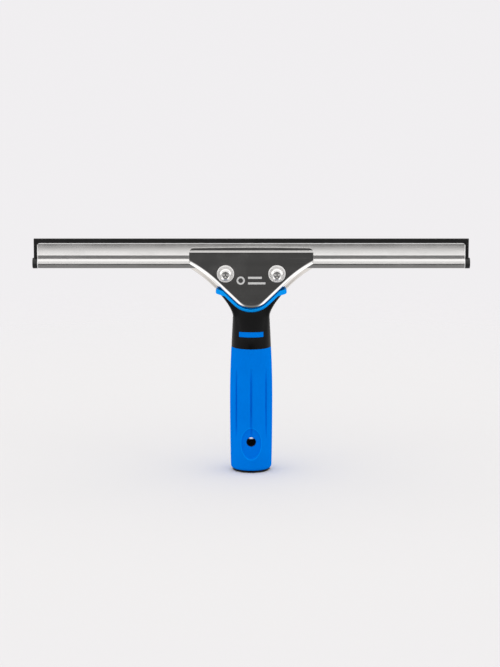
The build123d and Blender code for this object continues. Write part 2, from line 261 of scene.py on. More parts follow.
def grow_straight(bm, tip, offset, count=1):
    """Extrude a wire from its tip, in equal runs, and return its new points."""
    made = []
    for _ in range(count):
        tip = bmesh.ops.extrude_vert_indiv(bm, verts=[tip])["verts"][0]
        bmesh.ops.translate(bm, vec=Vector(offset) / count, verts=[tip])
        made.append(tip)
    return made


def grow_arc(bm, tip, centre, axis, angle, count):
    """Spin a wire's tip by so many degrees round an axis, and return its new points."""
    made = []
    for _ in range(count):
        grown = bmesh.ops.spin(
            bm, geom=[tip], cent=centre, axis=axis, dvec=(0, 0, 0),
            angle=radians(angle / count), steps=1, use_merge=False, use_duplicate=False,
        )
        tip = verts_in(grown["geom_last"])[0]
        made.append(tip)
    return made


def grow_vee(bm, inset, y, half):
    """The outline moved in by inset at depth y, as a wire from its middle to x = half."""
    points = [bm.verts.new((0, y, KEEL_Z + inset))]
    keel_centre = (0, y, KEEL_Z + KEEL_RADIUS)
    points += grow_arc(bm, points[-1], keel_centre, (0, -1, 0), FLANK_ANGLE, KEEL_STEPS)
    slope = radians(FLANK_ANGLE)
    flank = (FLANK_LENGTH * cos(slope), 0, FLANK_LENGTH * sin(slope))
    points += grow_straight(bm, points[-1], flank, FLANK_STEPS)
    reach = FLARE_RADIUS + inset
    flare_centre = points[-1].co + Vector((sin(slope), 0, -cos(slope))) * reach
    points += grow_arc(bm, points[-1], flare_centre, (0, 1, 0), FLANK_ANGLE - SHOULDER_ANGLE, FLARE_STEPS)
    run = half - points[-1].co.x
    points += grow_straight(bm, points[-1], (run, 0, run * tan(radians(SHOULDER_ANGLE))), WING_STEPS)
    return points


def vee_block(inset, y_front, y_back, name="tool_vee", half=90.0, top=260.0):
    """Everything above the outline between two depths, as one solid."""
    bm = bmesh.new()
    right = grow_vee(bm, inset, y_front, half)
    right += grow_straight(bm, right[-1], (0, 0, top - right[-1].co.z))
    right += grow_straight(bm, right[-1], (-half, 0, 0))
    bmesh.ops.mirror(bm, geom=bm.verts[:] + bm.edges[:], axis="X", merge_dist=0.001)
    bmesh.ops.remove_doubles(bm, verts=bm.verts, dist=0.001)
    bmesh.ops.contextual_create(bm, geom=bm.edges[:])
    raise_faces(bm, (0, y_back - y_front, 0))
    return as_object(bm, name)


# %% [markdown]
# ## Finishes
# Several finishes share an effect. Brushed lines, hand marks, the fine skin
# that a mould leaves on plastic, and settled dust are therefore node groups.
# They give out only heights, masks and values, and each finish sets its own
# strengths, so one effect can look strong on the channel and faint on a screw.
# The nodes could be placed one by one in each material, but then every change
# would have to be made many times.

# %% Adding and feeding nodes


def feed(node, **inputs):
    """Set or link a node's inputs, given by name, or by number as in _0."""
    for key, value in inputs.items():
        socket = node.inputs[int(key[1:]) if key[0] == "_" else key.replace("_", " ")]
        if isinstance(value, bpy.types.NodeSocket):
            node.id_data.links.new(value, socket)
        else:
            socket.default_value = value


def add_node(tree, kind, settings=None, **inputs):
    """A new node, with its settings made and its inputs fed."""
    node = tree.nodes.new(kind)
    for key, value in (settings or {}).items():
        setattr(node, key, value)
    feed(node, **inputs)
    return node


def make_group(name, inputs, outputs):
    """A node group: its tree, what it is given, and the node that takes its results."""
    tree = bpy.data.node_groups.new(name, "ShaderNodeTree")
    for label, kind, value in inputs:
        socket = tree.interface.new_socket(label, in_out="INPUT", socket_type=kind)
        if value is not None:
            socket.default_value = value
    for label in outputs:
        tree.interface.new_socket(label, in_out="OUTPUT", socket_type="NodeSocketFloat")
    return tree, tree.nodes.new("NodeGroupInput").outputs, tree.nodes.new("NodeGroupOutput")


# %% Arithmetic, ramps and noise


def maths(tree, operation, first, second=0.0, third=0.0):
    """A Math node's result."""
    node = add_node(tree, "ShaderNodeMath", {"operation": operation}, _0=first, _1=second, _2=third)
    return node.outputs[0]


def times(tree, *factors):
    """The product of two or more values."""
    product = factors[0]
    for factor in factors[1:]:
        product = maths(tree, "MULTIPLY", product, factor)
    return product


def all_but(tree, mask, share):
    """One, less a share of a mask."""
    return maths(tree, "SUBTRACT", 1.0, times(tree, mask, share))


def off_centre(tree, value, centre):
    """A coordinate's offset from a centre that is given in millimetres."""
    return maths(tree, "SUBTRACT", value, centre * MM)


def from_centre(tree, across, along):
    """How far a point lies from a centre, from its two offsets."""
    return maths(tree, "SQRT", maths(tree, "MULTIPLY_ADD", across, across, times(tree, along, along)))


def ramp(tree, value, low, high, to_low=0.0, to_high=1.0):
    """A value mapped smoothly from one range to another."""
    return add_node(
        tree, "ShaderNodeMapRange", {"interpolation_type": "SMOOTHSTEP"},
        Value=value, From_Min=low, From_Max=high, To_Min=to_low, To_Max=to_high,
    ).outputs["Result"]


def fall(tree, value, low, high):
    """One below a range, zero above it, and smooth between."""
    return ramp(tree, value, low, high, 1.0, 0.0)


def band(tree, value, rise_from, rise_to, fall_from, fall_to):
    """One inside a band and zero outside it, with soft edges."""
    return times(tree, ramp(tree, value, rise_from, rise_to), fall(tree, value, fall_from, fall_to))


def noise(tree, vector, scale, detail, rough=0.5, distortion=0.0):
    """A noise texture's value."""
    return add_node(
        tree, "ShaderNodeTexNoise",
        Vector=vector, Scale=scale, Detail=detail, Roughness=rough, Distortion=distortion,
    ).outputs[0]


# %% Brushed lines: noise stretched until its spots are streaks
VECTOR_IN = ("Vector", "NodeSocketVector", None)

brushed, given, result = make_group(
    "brushed_lines", [VECTOR_IN, ("Stretch", "NodeSocketVector", (4.0, 900.0, 900.0))], ["Height", "Shade"]
)
stretched = add_node(
    brushed, "ShaderNodeVectorMath", {"operation": "MULTIPLY"}, _0=given["Vector"], _1=given["Stretch"]
).outputs[0]
feed(
    result,
    Height=noise(brushed, stretched, scale=4.0, detail=4.0, rough=0.7),
    Shade=noise(brushed, stretched, scale=0.35, detail=2.0),
)

# %% Hand marks: soft smudges, and hair scratches two ways in a few patches
SCRATCH_WIDTH = 0.018

marks, given, result = make_group(
    "hand_marks", [VECTOR_IN, ("Smudge Scale", "NodeSocketFloat", 45.0)], ["Smudge", "Scratch"]
)
smudge = noise(marks, given["Vector"], given["Smudge Scale"], detail=5.0, rough=0.6, distortion=0.6)
scratch_ways = []
for turn, scale in ((0.35, 260.0), (-0.9, 190.0)):
    slanted = add_node(
        marks, "ShaderNodeMapping",
        Vector=given["Vector"], Rotation=(0.3, turn, 0.2), Scale=(0.06, 1.0, 1.0),
    ).outputs[0]
    cells = add_node(
        marks, "ShaderNodeTexVoronoi", {"feature": "DISTANCE_TO_EDGE"}, Vector=slanted, Scale=scale
    )
    scratch_ways.append(fall(marks, cells.outputs["Distance"], 0.0, SCRATCH_WIDTH))
patches = ramp(marks, noise(marks, given["Vector"], scale=30.0, detail=1.0), 0.5, 0.66)
both_ways = maths(marks, "MAXIMUM", *scratch_ways)
feed(result, Smudge=ramp(marks, smudge, 0.42, 0.68), Scratch=times(marks, both_ways, patches))

# %% The skin that a mould leaves on plastic and rubber
PEBBLE_SHARE = 0.7

skin, given, result = make_group(
    "moulded_skin", [VECTOR_IN, ("Grain Scale", "NodeSocketFloat", 1400.0)], ["Height", "Cloud"]
)
pebble = add_node(
    skin, "ShaderNodeTexVoronoi", {"feature": "SMOOTH_F1"}, Vector=given["Vector"], Scale=given["Grain Scale"]
).outputs["Distance"]
powder = noise(skin, given["Vector"], given["Grain Scale"], detail=3.0)
feed(
    result,
    Height=maths(skin, "MULTIPLY_ADD", pebble, PEBBLE_SHARE, powder),
    Cloud=noise(skin, given["Vector"], scale=38.0, detail=4.0, rough=0.55),
)

# %% Dust that settles on what faces upwards
dust, given, result = make_group(
    "settled_dust", [VECTOR_IN, ("Amount", "NodeSocketFloat", 0.1)], ["Mask"]
)
facing = add_node(dust, "ShaderNodeNewGeometry").outputs["Normal"]
upward = add_node(dust, "ShaderNodeSeparateXYZ", Vector=facing).outputs["Z"]
flecks = ramp(dust, noise(dust, given["Vector"], scale=900.0, detail=6.0, rough=0.75), 0.45, 0.75)
up_mask = ramp(dust, upward, 0.2, 1.0, 0.15, 1.0)
feed(result, Mask=times(dust, flecks, up_mask, given["Amount"]))
print("node groups:", [group.name for group in bpy.data.node_groups])

# %% A finish's common start


def new_finish(name):
    """A material with an empty Principled surface and Object coordinates."""
    finish = bpy.data.materials.new(name)
    finish.use_nodes = True
    tree = finish.node_tree
    surface = tree.nodes["Principled BSDF"]
    place = add_node(tree, "ShaderNodeTexCoord").outputs["Object"]
    return finish, tree, surface, place


def use_group(tree, group, **inputs):
    """One of the shared groups, placed in a finish. Returns what it gives out."""
    return add_node(tree, "ShaderNodeGroup", {"node_tree": group}, **inputs).outputs


def mix_colours(tree, mask, first, second):
    """Blend two colours by a mask."""
    first, second = (
        colour if isinstance(colour, bpy.types.NodeSocket) else (*colour, 1) for colour in (first, second)
    )
    return add_node(tree, "ShaderNodeMix", {"data_type": "RGBA"}, _0=mask, _6=first, _7=second).outputs[2]


def bump(tree, surface, height, strength, distance):
    """Give a surface fine relief from a height."""
    relief = add_node(tree, "ShaderNodeBump", Height=height, Strength=strength, Distance=distance)
    feed(surface, Normal=relief.outputs[0])


def fed_by(surface, name):
    """What now feeds an input of a surface, so that something can be laid over it."""
    return surface.inputs[name].links[0].from_socket


# %% [markdown]
# ## Steel
# The channel is satin strip, drawn along its length, so its lines run along X
# and spread a highlight across them. The front jaw is the same steel, polished
# after pressing: it mirrors the studio, and only faint lines, smudges and hair
# scratches break the mirror. The rear jaw stays satin, and its tone is painted
# darker and warmer than the front jaw's, as painted shade from the front jaw.
# Screws, nuts and rivets are bright turned parts, and the washers are duller.
# All are one recipe with other values. A flat tone would look like paint,
# because what makes steel look like steel is how its lines and marks break up
# what it mirrors.

# %% The recipe for steel
STEEL_DUST, STEEL_DUST_TONE = 0.12, (0.5, 0.49, 0.47)
LINE_SHADE = 0.93              # how dark the streaks are beside the steel between them
LINE_ROUGH = 0.25


def make_steel(name, tone, polish, stretch, grain, smudge_gain, scratch_depth, metallic=1.0):
    """A stainless finish. polish is the mirror's roughness, grain the depth of the lines."""
    finish, tree, surface, place = new_finish(name)
    lines = use_group(tree, brushed, Vector=place, Stretch=stretch)
    touched = use_group(tree, marks, Vector=place)
    settled = use_group(tree, dust, Vector=place, Amount=STEEL_DUST)["Mask"]
    shade = ramp(tree, lines["Shade"], 0.3, 0.7)
    steel = mix_colours(tree, shade, [value * LINE_SHADE for value in tone], tone)
    steel = mix_colours(tree, settled, steel, STEEL_DUST_TONE)
    rough = maths(tree, "MULTIPLY_ADD", touched["Smudge"], smudge_gain, polish)
    rough = maths(tree, "MULTIPLY_ADD", lines["Height"], grain * LINE_ROUGH, rough)
    rough = maths(tree, "ADD", rough, settled)
    feed(surface, Base_Color=steel, Roughness=rough, Metallic=metallic)
    relief = times(tree, lines["Height"], grain)
    relief = maths(tree, "MULTIPLY_ADD", touched["Scratch"], -scratch_depth, relief)
    bump(tree, surface, relief, strength=0.25, distance=0.1 * MM)
    return finish, tree, surface, place


# the rear jaw's darker, warmer tone is painted shade from the front jaw; its satin polish is its own
shaded_satin_jaw_steel = make_steel(
    "rear_jaw_shaded_satin_steel", tone=(0.50, 0.475, 0.45), polish=0.20, stretch=(5.0, 300.0, 600.0),
    grain=0.12, smudge_gain=0.06, scratch_depth=0.2,
)[0]
fastener_steel = make_steel(
    "bright_turned_steel", tone=(0.92, 0.91, 0.90), polish=0.14, stretch=(500.0, 40.0, 500.0),
    grain=0.15, smudge_gain=0.05, scratch_depth=0.2, metallic=0.92,
)[0]
washer_steel = make_steel(
    "satin_washer_steel", tone=(0.94, 0.93, 0.92), polish=0.30, stretch=(500.0, 40.0, 500.0),
    grain=0.20, smudge_gain=0.06, scratch_depth=0.2, metallic=0.50,
)[0]
print("steel:", shaded_satin_jaw_steel.name, fastener_steel.name, washer_steel.name)

# %% [markdown]
# The channel's top and its two ends are cut edges. A pale, dull band along them
# is a painted highlight, for the light that those edges catch. It could be
# separate slivers of mesh with a finish of their own. A mask made from the
# height and the distance from the middle paints it on the same strip.

# %% Channel steel with a painted highlight along its cut edges
# a pale, dull band painted along the top and the ends as a highlight
HIGHLIGHT_BAND = 0.7 * MM
EDGE_HIGHLIGHT_TONE, EDGE_HIGHLIGHT_DULLING = (0.95, 0.95, 0.95), 0.7

channel_steel, tree, surface, place = make_steel(
    "channel_satin_steel", tone=(0.80, 0.79, 0.78), polish=0.16, stretch=(3.0, 800.0, 800.0),
    grain=0.35, smudge_gain=0.05, scratch_depth=0.25,
)
spot = add_node(tree, "ShaderNodeSeparateXYZ", Vector=place).outputs
edges = []
for reach, limit in ((spot["Z"], CHANNEL_TOP * MM), (maths(tree, "ABSOLUTE", spot["X"]), CHANNEL_HALF * MM)):
    edges.append(ramp(tree, reach, limit - HIGHLIGHT_BAND, limit - HIGHLIGHT_BAND / 2))
# the painted highlight's mask, from the top and from both ends
painted_edge_highlight = maths(tree, "MAXIMUM", *edges)
satin_colour = fed_by(surface, "Base Color")
feed(
    surface,
    Base_Color=mix_colours(tree, painted_edge_highlight, satin_colour, EDGE_HIGHLIGHT_TONE),
    Metallic=all_but(tree, painted_edge_highlight, EDGE_HIGHLIGHT_DULLING),
)
print("painted edge highlight", HIGHLIGHT_BAND / MM, "mm wide on", channel_steel.name)

# %% [markdown]
# The front jaw also carries a small mark, etched pale into the polish: here a
# plain ring beside two short bars. It is drawn by distance from a centre or a
# line, so it has clean edges at any size and needs no picture.

# %% Jaw steel with its etched mark
MARK_Z = 160.6
RING_X, RING_RADIUS, RING_HALF = -8.6, 2.7, 0.65
BAR_LEFT, BAR_RISE, BAR_HALF = -2.6, 2.3, 0.85
UPPER_BAR_RIGHT, LOWER_BAR_RIGHT = 8.6, 11.6
ETCH_SOFT = 0.12 * MM
ETCH_TONE, ETCH_ROUGHENING, ETCH_DULLING = (0.62, 0.62, 0.62), 0.45, 0.85
ETCH_FRONT, ETCH_BACK = -7.6 * MM, -7.5 * MM     # the mark is only on the face, not behind it

jaw_steel, tree, surface, place = make_steel(
    "jaw_polished_steel", tone=(0.78, 0.77, 0.76), polish=0.07, stretch=(5.0, 300.0, 600.0),
    grain=0.05, smudge_gain=0.05, scratch_depth=0.15,
)
spot = add_node(tree, "ShaderNodeSeparateXYZ", Vector=place).outputs


def etched_bar(right, z):
    """Mask of one bar of the mark."""
    across = maths(tree, "ABSOLUTE", off_centre(tree, spot["X"], (BAR_LEFT + right) / 2))
    along = maths(tree, "ABSOLUTE", off_centre(tree, spot["Z"], z))
    over_x = maths(tree, "SUBTRACT", across, (right - BAR_LEFT) / 2 * MM)
    over_z = maths(tree, "SUBTRACT", along, BAR_HALF * MM)
    return fall(tree, maths(tree, "MAXIMUM", over_x, over_z), -ETCH_SOFT, ETCH_SOFT)


ring_x, ring_z = off_centre(tree, spot["X"], RING_X), off_centre(tree, spot["Z"], MARK_Z)
ring_reach = from_centre(tree, ring_x, ring_z)
ring_off = maths(tree, "ABSOLUTE", maths(tree, "SUBTRACT", ring_reach, RING_RADIUS * MM))
ring = fall(tree, ring_off, RING_HALF * MM - ETCH_SOFT, RING_HALF * MM + ETCH_SOFT)
upper_bar = etched_bar(UPPER_BAR_RIGHT, MARK_Z + BAR_RISE)
lower_bar = etched_bar(LOWER_BAR_RIGHT, MARK_Z - BAR_RISE)
drawn_mark = maths(tree, "MAXIMUM", ring, maths(tree, "MAXIMUM", upper_bar, lower_bar))
etched = times(tree, drawn_mark, fall(tree, spot["Y"], ETCH_FRONT, ETCH_BACK))
feed(
    surface,
    Base_Color=mix_colours(tree, etched, fed_by(surface, "Base Color"), ETCH_TONE),
    Roughness=maths(tree, "MULTIPLY_ADD", etched, ETCH_ROUGHENING, fed_by(surface, "Roughness")),
    Metallic=all_but(tree, etched, ETCH_DULLING),
)
print("etched mark at", MARK_Z, "on", jaw_steel.name)

# %% [markdown]
# ## Plastic and rubber
# The grip is a soft blue rubber moulded over a hard black core: matt, faintly
# pebbled, and a little darker in patches. The neck and the cap are harder
# plastic, and the blade is dense natural rubber. They differ only in tone,
# grain, gloss and dust, so they too are one recipe.

# %% The recipe for moulded pieces
MOULDED_DUST_TONE = (0.45, 0.44, 0.42)
HANDLED_GLOSS = 0.08           # how much smoother the skin is where hands have smudged it
HANDLED_SCALE = 60.0


def make_moulded(name, tone, worn_tone, rough, grain_scale, depth, dust_amount, specular=0.5):
    """A moulded plastic or rubber finish, whose grain is depth metres deep."""
    finish, tree, surface, place = new_finish(name)
    moulded = use_group(tree, skin, Vector=place, Grain_Scale=grain_scale)
    smudge = use_group(tree, marks, Vector=place, Smudge_Scale=HANDLED_SCALE)["Smudge"]
    settled = use_group(tree, dust, Vector=place, Amount=dust_amount)["Mask"]
    cloudy = ramp(tree, moulded["Cloud"], 0.3, 0.7)
    colour = mix_colours(tree, cloudy, tone, worn_tone)
    colour = mix_colours(tree, settled, colour, MOULDED_DUST_TONE)
    uneven = maths(tree, "MULTIPLY_ADD", smudge, -HANDLED_GLOSS, rough)
    feed(surface, Base_Color=colour, Roughness=maths(tree, "ADD", uneven, settled))
    feed(surface, Specular_IOR_Level=specular)
    bump(tree, surface, moulded["Height"], strength=0.3, distance=depth)
    return finish, tree, surface, place


blue_lip = make_moulded(
    "blue_bright_lip", tone=(0.0, 0.34, 0.98), worn_tone=(0.0, 0.32, 0.95), rough=0.45,
    grain_scale=1500.0, depth=0.04 * MM, dust_amount=0.003, specular=0.06,
)[0]
neck_black = make_moulded(
    "black_neck_plastic", tone=(0.002, 0.002, 0.0022), worn_tone=(0.003, 0.003, 0.0033), rough=0.30,
    grain_scale=1100.0, depth=0.04 * MM, dust_amount=0.003, specular=0.12,
)[0]
clip_black = make_moulded(
    "black_clip_plastic", tone=(0.006, 0.006, 0.006), worn_tone=(0.009, 0.009, 0.009), rough=0.38,
    grain_scale=1300.0, depth=0.04 * MM, dust_amount=0.03,
)[0]
core_black = make_moulded(
    "black_core_nylon", tone=(0.008, 0.008, 0.008), worn_tone=(0.012, 0.012, 0.012), rough=0.55,
    grain_scale=700.0, depth=0.06 * MM, dust_amount=0.02,
)[0]
blade_rubber = make_moulded(
    "blade_rubber", tone=(0.006, 0.006, 0.006), worn_tone=(0.010, 0.010, 0.010), rough=0.45,
    grain_scale=900.0, depth=0.03 * MM, dust_amount=0.01, specular=0.22,
)[0]
print("moulded:", blue_lip.name, neck_black.name, clip_black.name, core_black.name, blade_rubber.name)

# %% [markdown]
# Round the hang hole the grip has a shallow oval. The shape alone hardly shows
# on a matt surface under soft light, so the finish paints what its relief
# would do, from the same measures: painted shade inside the oval, a shade
# deeper than the rest, and a painted highlight along its rim.

# %% Grip rubber with painted shade in its oval and a painted highlight on its rim
# painted shade inside the oval, and a painted highlight along its rim
OVAL_SHADE_TONE, OVAL_RIM_HIGHLIGHT_TONE = (0.0, 0.158, 0.72), (0.0, 0.235, 0.85)
SKIN_FROM, SKIN_TO = 10.5 * MM, 11.0 * MM     # the outer skin, front and back, but not the hole's wall

blue_grip, tree, surface, place = make_moulded(
    "blue_soft_grip", tone=(0.0, 0.186, 0.745), worn_tone=(0.0, 0.173, 0.71), rough=0.55,
    grain_scale=1500.0, depth=0.06 * MM, dust_amount=0.003, specular=0.0,
)
spot = add_node(tree, "ShaderNodeSeparateXYZ", Vector=place).outputs
oval_x = maths(tree, "DIVIDE", spot["X"], OVAL_HALF_X * MM)
oval_z = maths(tree, "DIVIDE", off_centre(tree, spot["Z"], OVAL_Z), OVAL_HALF_Z * MM)
oval_reach = from_centre(tree, oval_x, oval_z)
outer_skin = ramp(tree, maths(tree, "ABSOLUTE", spot["Y"]), SKIN_FROM, SKIN_TO)
# the oval's painted shade, then the painted highlight on its rim
oval = times(tree, fall(tree, oval_reach, 0.93, 0.97), outer_skin)
oval_rim_highlight = times(tree, band(tree, oval_reach, 0.95, 1.0, 1.0, 1.05), outer_skin)
oval_shaded_blue = mix_colours(tree, oval, fed_by(surface, "Base Color"), OVAL_SHADE_TONE)
feed(surface, Base_Color=mix_colours(tree, oval_rim_highlight, oval_shaded_blue, OVAL_RIM_HIGHLIGHT_TONE))
print("oval", 2 * OVAL_HALF_X, "by", 2 * OVAL_HALF_Z, "mm on", blue_grip.name)

# %% Handing a finished piece to its body


def finish_piece(piece, finish, body, slot, *nodes, edge=0.0, sharp=35.0, segments=3, flat_faces=True):
    """Turn a piece into metres, round its sharp edges by edge millimetres, and let it ride."""
    piece.data.transform(Matrix.Scale(MM, 4))
    piece.data.materials.clear()
    piece.data.materials.append(finish)
    for face in piece.data.polygons:
        face.use_smooth = True
    piece.data.set_sharp_from_angle(angle=radians(sharp))
    if edge:
        rim = piece.modifiers.new("rounded_edges", "BEVEL")
        rim.width = edge * MM
        rim.segments = segments
        rim.limit_method = "ANGLE"
        rim.angle_limit = radians(sharp)
    if flat_faces:
        flatten = piece.modifiers.new("flat_faces_stay_flat", "WEIGHTED_NORMAL")
        flatten.mode = "FACE_AREA"
        flatten.weight = 100
        flatten.keep_sharp = True
    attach(piece, body)
    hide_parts(*nodes)
    print(piece.name, "faces", len(piece.data.polygons), "rides on", body)
    return piece


# %% [markdown]
# ## The two jaws
# A press bends each jaw from one flat blank: its lower edge curls back all
# along the outline, and its upper edge steps in to a lip that grips the
# channel. A bevelled block would have neither the curl nor the thin sheet
# behind it. Here the sheet's front skin is a stack of outline wires, each
# moved in a little and forwards along the curl, and bridged to the next. Two
# straight wires carry it up over the step. Solidify then gives it its gauge.

# %% One pressed jaw
LIP_HEIGHT = 2.7
JOGGLE_HEIGHT = 0.25
BEND_Z = JAW_TOP - LIP_HEIGHT - JOGGLE_HEIGHT
JAW_CORNER = 3.5
CROWN_RADIUS = 2600.0
CURL_STEPS = 10
CONVEX_BEND = 0.45             # a tight step, whose inner fold the trimming cut clears up
HOLLOW_BEND = 0.25
BLANK_HALF = JAW_HALF + 8      # the blank is wider than the jaw, and trimmed later


def add_straight_row(bm, below, z, y):
    """A copy of a wire, flattened to one height and depth, bridged to the wire below it."""
    row = [bm.verts.new((vert.co.x, y, z)) for vert in below]
    edges = [bm.edges.new(pair) for pair in zip(row, row[1:])]
    lower = [bm.edges.get(pair) for pair in zip(below, below[1:])]
    bmesh.ops.bridge_loops(bm, edges=lower + edges)
    return row


def pressed_jaw(name, face_y, lip_y, spread, curl_width, curl_depth, flange_y):
    """One pressed sheet, its front skin at face_y, its lip's skin at lip_y."""
    bm = bmesh.new()
    rows = []
    if flange_y > face_y + curl_depth:
        rows.append(grow_vee(bm, -spread, flange_y, BLANK_HALF))
    for step in range(CURL_STEPS + 1):
        angle = pi / 2 * step / CURL_STEPS
        inset, y = -spread + curl_width * (1 - cos(angle)), face_y + curl_depth * (1 - sin(angle))
        rows.append(grow_vee(bm, inset, y, BLANK_HALF))
    for lower, upper in zip(rows, rows[1:]):
        pair = [bm.edges.get(ends) for row in (lower, upper) for ends in zip(row, row[1:])]
        bmesh.ops.bridge_loops(bm, edges=pair)
    low_step = add_straight_row(bm, rows[-1], BEND_Z, face_y)
    high_step = add_straight_row(bm, low_step, BEND_Z + JOGGLE_HEIGHT, lip_y)
    add_straight_row(bm, high_step, JAW_TOP + 2, lip_y)
    for row, soft in ((low_step, CONVEX_BEND), (high_step, HOLLOW_BEND)):
        bends = [bm.edges.get(ends) for ends in zip(row, row[1:])]
        round_off(bm, bends, soft, segments=6)
    bmesh.ops.mirror(bm, geom=bm.verts[:] + bm.edges[:] + bm.faces[:], axis="X", merge_dist=0.001)
    jaw = as_object(bm, name)
    front = sum(face.normal.y * face.area for face in jaw.data.polygons)
    if front > 0:
        jaw.data.flip_normals()
    give_gauge(jaw, JAW_SHEET)
    return jaw


def jaw_trim():
    """The jaw's blank seen from the front: crowned along the top, with round corners."""
    bm = bmesh.new()
    bmesh.ops.create_grid(bm, x_segments=24, y_segments=1, size=1)
    bmesh.ops.scale(bm, vec=(JAW_HALF, 50, 1), verts=bm.verts)
    bmesh.ops.rotate(bm, cent=(0, 0, 0), matrix=Matrix.Rotation(pi / 2, 3, "X"), verts=bm.verts)
    bmesh.ops.translate(bm, vec=(0, -40, JAW_TOP - 50), verts=bm.verts)
    for vert in bm.verts:
        if vert.co.z > JAW_TOP - 1:
            vert.co.z = JAW_TOP - CROWN_RADIUS + sqrt(CROWN_RADIUS**2 - vert.co.x**2)
    bmesh.ops.dissolve_faces(bm, faces=bm.faces[:])
    corners = [vert for vert in bm.verts if abs(vert.co.x) > JAW_HALF - 0.01 and vert.co.z > JAW_TOP - 2]
    round_off(bm, corners, JAW_CORNER, segments=8, affect="VERTICES", clamp=False)
    raise_faces(bm, (0, 80, 0))
    return as_object(bm, "tool_jaw_trim")


# %% Front jaw: its blank, screw holes and side notches
FRONT_FACE_Y = jaw_low.y
FRONT_CURL_WIDTH, FRONT_CURL_DEPTH = 4.2, 3.2     # shallow, so that the rim clears the tube
REAR_CURL = 5.0
LIP_TO_TUBE = 3.15
SCREW_HOLE = 2.75
NOTCH_RADIUS, NOTCH_Z = 0.9, TUBE_Z + 2.1

front_jaw = pressed_jaw(
    "front_jaw_pressing", FRONT_FACE_Y, lip_y=-LIP_TO_TUBE - JAW_SHEET, spread=0.0,
    curl_width=FRONT_CURL_WIDTH, curl_depth=FRONT_CURL_DEPTH, flange_y=FRONT_FACE_Y,
)
carve(front_jaw, jaw_trim(), operation="INTERSECT", tight_folds=True)
carve(
    front_jaw,
    *rod_pair(SCREW_HOLE, SCREW_X, SCREW_Z, -30, 0),
    *rod_pair(NOTCH_RADIUS, JAW_HALF, NOTCH_Z, -30, 0, segments=24),
)
finish_piece(front_jaw, jaw_steel, "front_clamp", "jaw_steel", "front_jaw", edge=0.28)

# %% Rear jaw: the same blank spread wider, with a deeper curl and a straight flange behind it
CHANNEL_CLEARANCE = 0.3        # between the rear jaw's face and the tube
REAR_FACE_Y = rear_low.y + (TUBE_RADIUS + CHANNEL_CLEARANCE - LIP_TO_TUBE)
RIVET_X = 7.5
RIVET_Z = (rivets_low.z + rivets_high.z) / 2
RIVET_RADIUS = 1.6

rear_jaw = pressed_jaw(
    "rear_jaw_pressing", REAR_FACE_Y, lip_y=LIP_TO_TUBE, spread=REAR_CURL,
    curl_width=REAR_CURL, curl_depth=REAR_CURL, flange_y=rear_high.y,
)
carve(rear_jaw, jaw_trim(), operation="INTERSECT", tight_folds=True)
carve(
    rear_jaw,
    *rod_pair(SCREW_HOLE, SCREW_X, SCREW_Z, 0, 30),
    *rod_pair(RIVET_RADIUS, RIVET_X, RIVET_Z, 0, 30, segments=32),
)
finish_piece(rear_jaw, shaded_satin_jaw_steel, "handle", "jaw_steel", "rear_jaw", edge=0.28)

# %% [markdown]
# ## The channel
# One steel strip is folded round the rubber's bead into a tube, and its two
# legs stand up to hold the rubber's web. A tube and two plates would leave
# seams where the real strip has none. So the section is grown as a wire: down
# one leg, spun round the tube, and mirrored. Extruding it sideways gives the
# strip. Its folds are then bevelled, as a folding machine leaves them round.

# %% Channel strip
CHANNEL_SHEET = 0.7
PINCH_HALF = 2.35
BELLY_HALF = 3.0
MOUTH_HALF = 2.2
LEG_RUNS = 6                   # the legs bow gently, upright at the mouth
TUBE_TOP = TUBE_Z + TUBE_RADIUS
BELLY_RISE, PINCH_RISE = 2.2, 0.3     # how far above the tube the legs draw in
FOLD_LOW, FOLD_HIGH, FOLD_ROUND = TUBE_TOP - 0.9, TUBE_TOP + 3.2, 0.75
CHANNEL_CORNER = 2.3

bm = bmesh.new()
join_angle = degrees(acos(PINCH_HALF / TUBE_RADIUS))
join_z = TUBE_Z + sqrt(TUBE_RADIUS**2 - PINCH_HALF**2)
leg = [bm.verts.new((-CHANNEL_HALF, -MOUTH_HALF, CHANNEL_TOP))]
leg_drop = (CHANNEL_TOP - TUBE_TOP - BELLY_RISE) / LEG_RUNS
for run in range(LEG_RUNS):
    lean = 2 * (BELLY_HALF - MOUTH_HALF) * (run + 0.5) / LEG_RUNS**2
    leg += grow_straight(bm, leg[-1], (0, -lean, -leg_drop))
leg += grow_straight(bm, leg[-1], (0, BELLY_HALF - PINCH_HALF, TUBE_TOP + PINCH_RISE - leg[-1].co.z))
leg += grow_straight(bm, leg[-1], (0, 0, join_z - leg[-1].co.z))
sweep = 90 + join_angle
grow_arc(bm, leg[-1], (-CHANNEL_HALF, 0, TUBE_Z), (1, 0, 0), sweep, 30)
bmesh.ops.mirror(bm, geom=bm.verts[:] + bm.edges[:], axis="Y", merge_dist=0.001)
drawn = bmesh.ops.extrude_edge_only(bm, edges=bm.edges[:])
bmesh.ops.translate(bm, vec=(2 * CHANNEL_HALF, 0, 0), verts=verts_in(drawn["geom"]))
folds = [
    edge for edge in bm.edges
    if abs(edge.verts[0].co.x - edge.verts[1].co.x) > 1
    and FOLD_LOW < edge.verts[0].co.z < FOLD_HIGH
]
round_off(bm, folds, FOLD_ROUND, segments=5)
channel = as_object(bm, "channel_strip")
tube_axis = Vector((0, 0, TUBE_Z))
outward = sum(face.normal.dot(face.center - tube_axis) * face.area for face in channel.data.polygons)
if outward < 0:
    channel.data.flip_normals()
give_gauge(channel, CHANNEL_SHEET)
print("channel", len(folds), "folds, sweep", round(sweep, 1))

# %% Round its upper corners and its edges


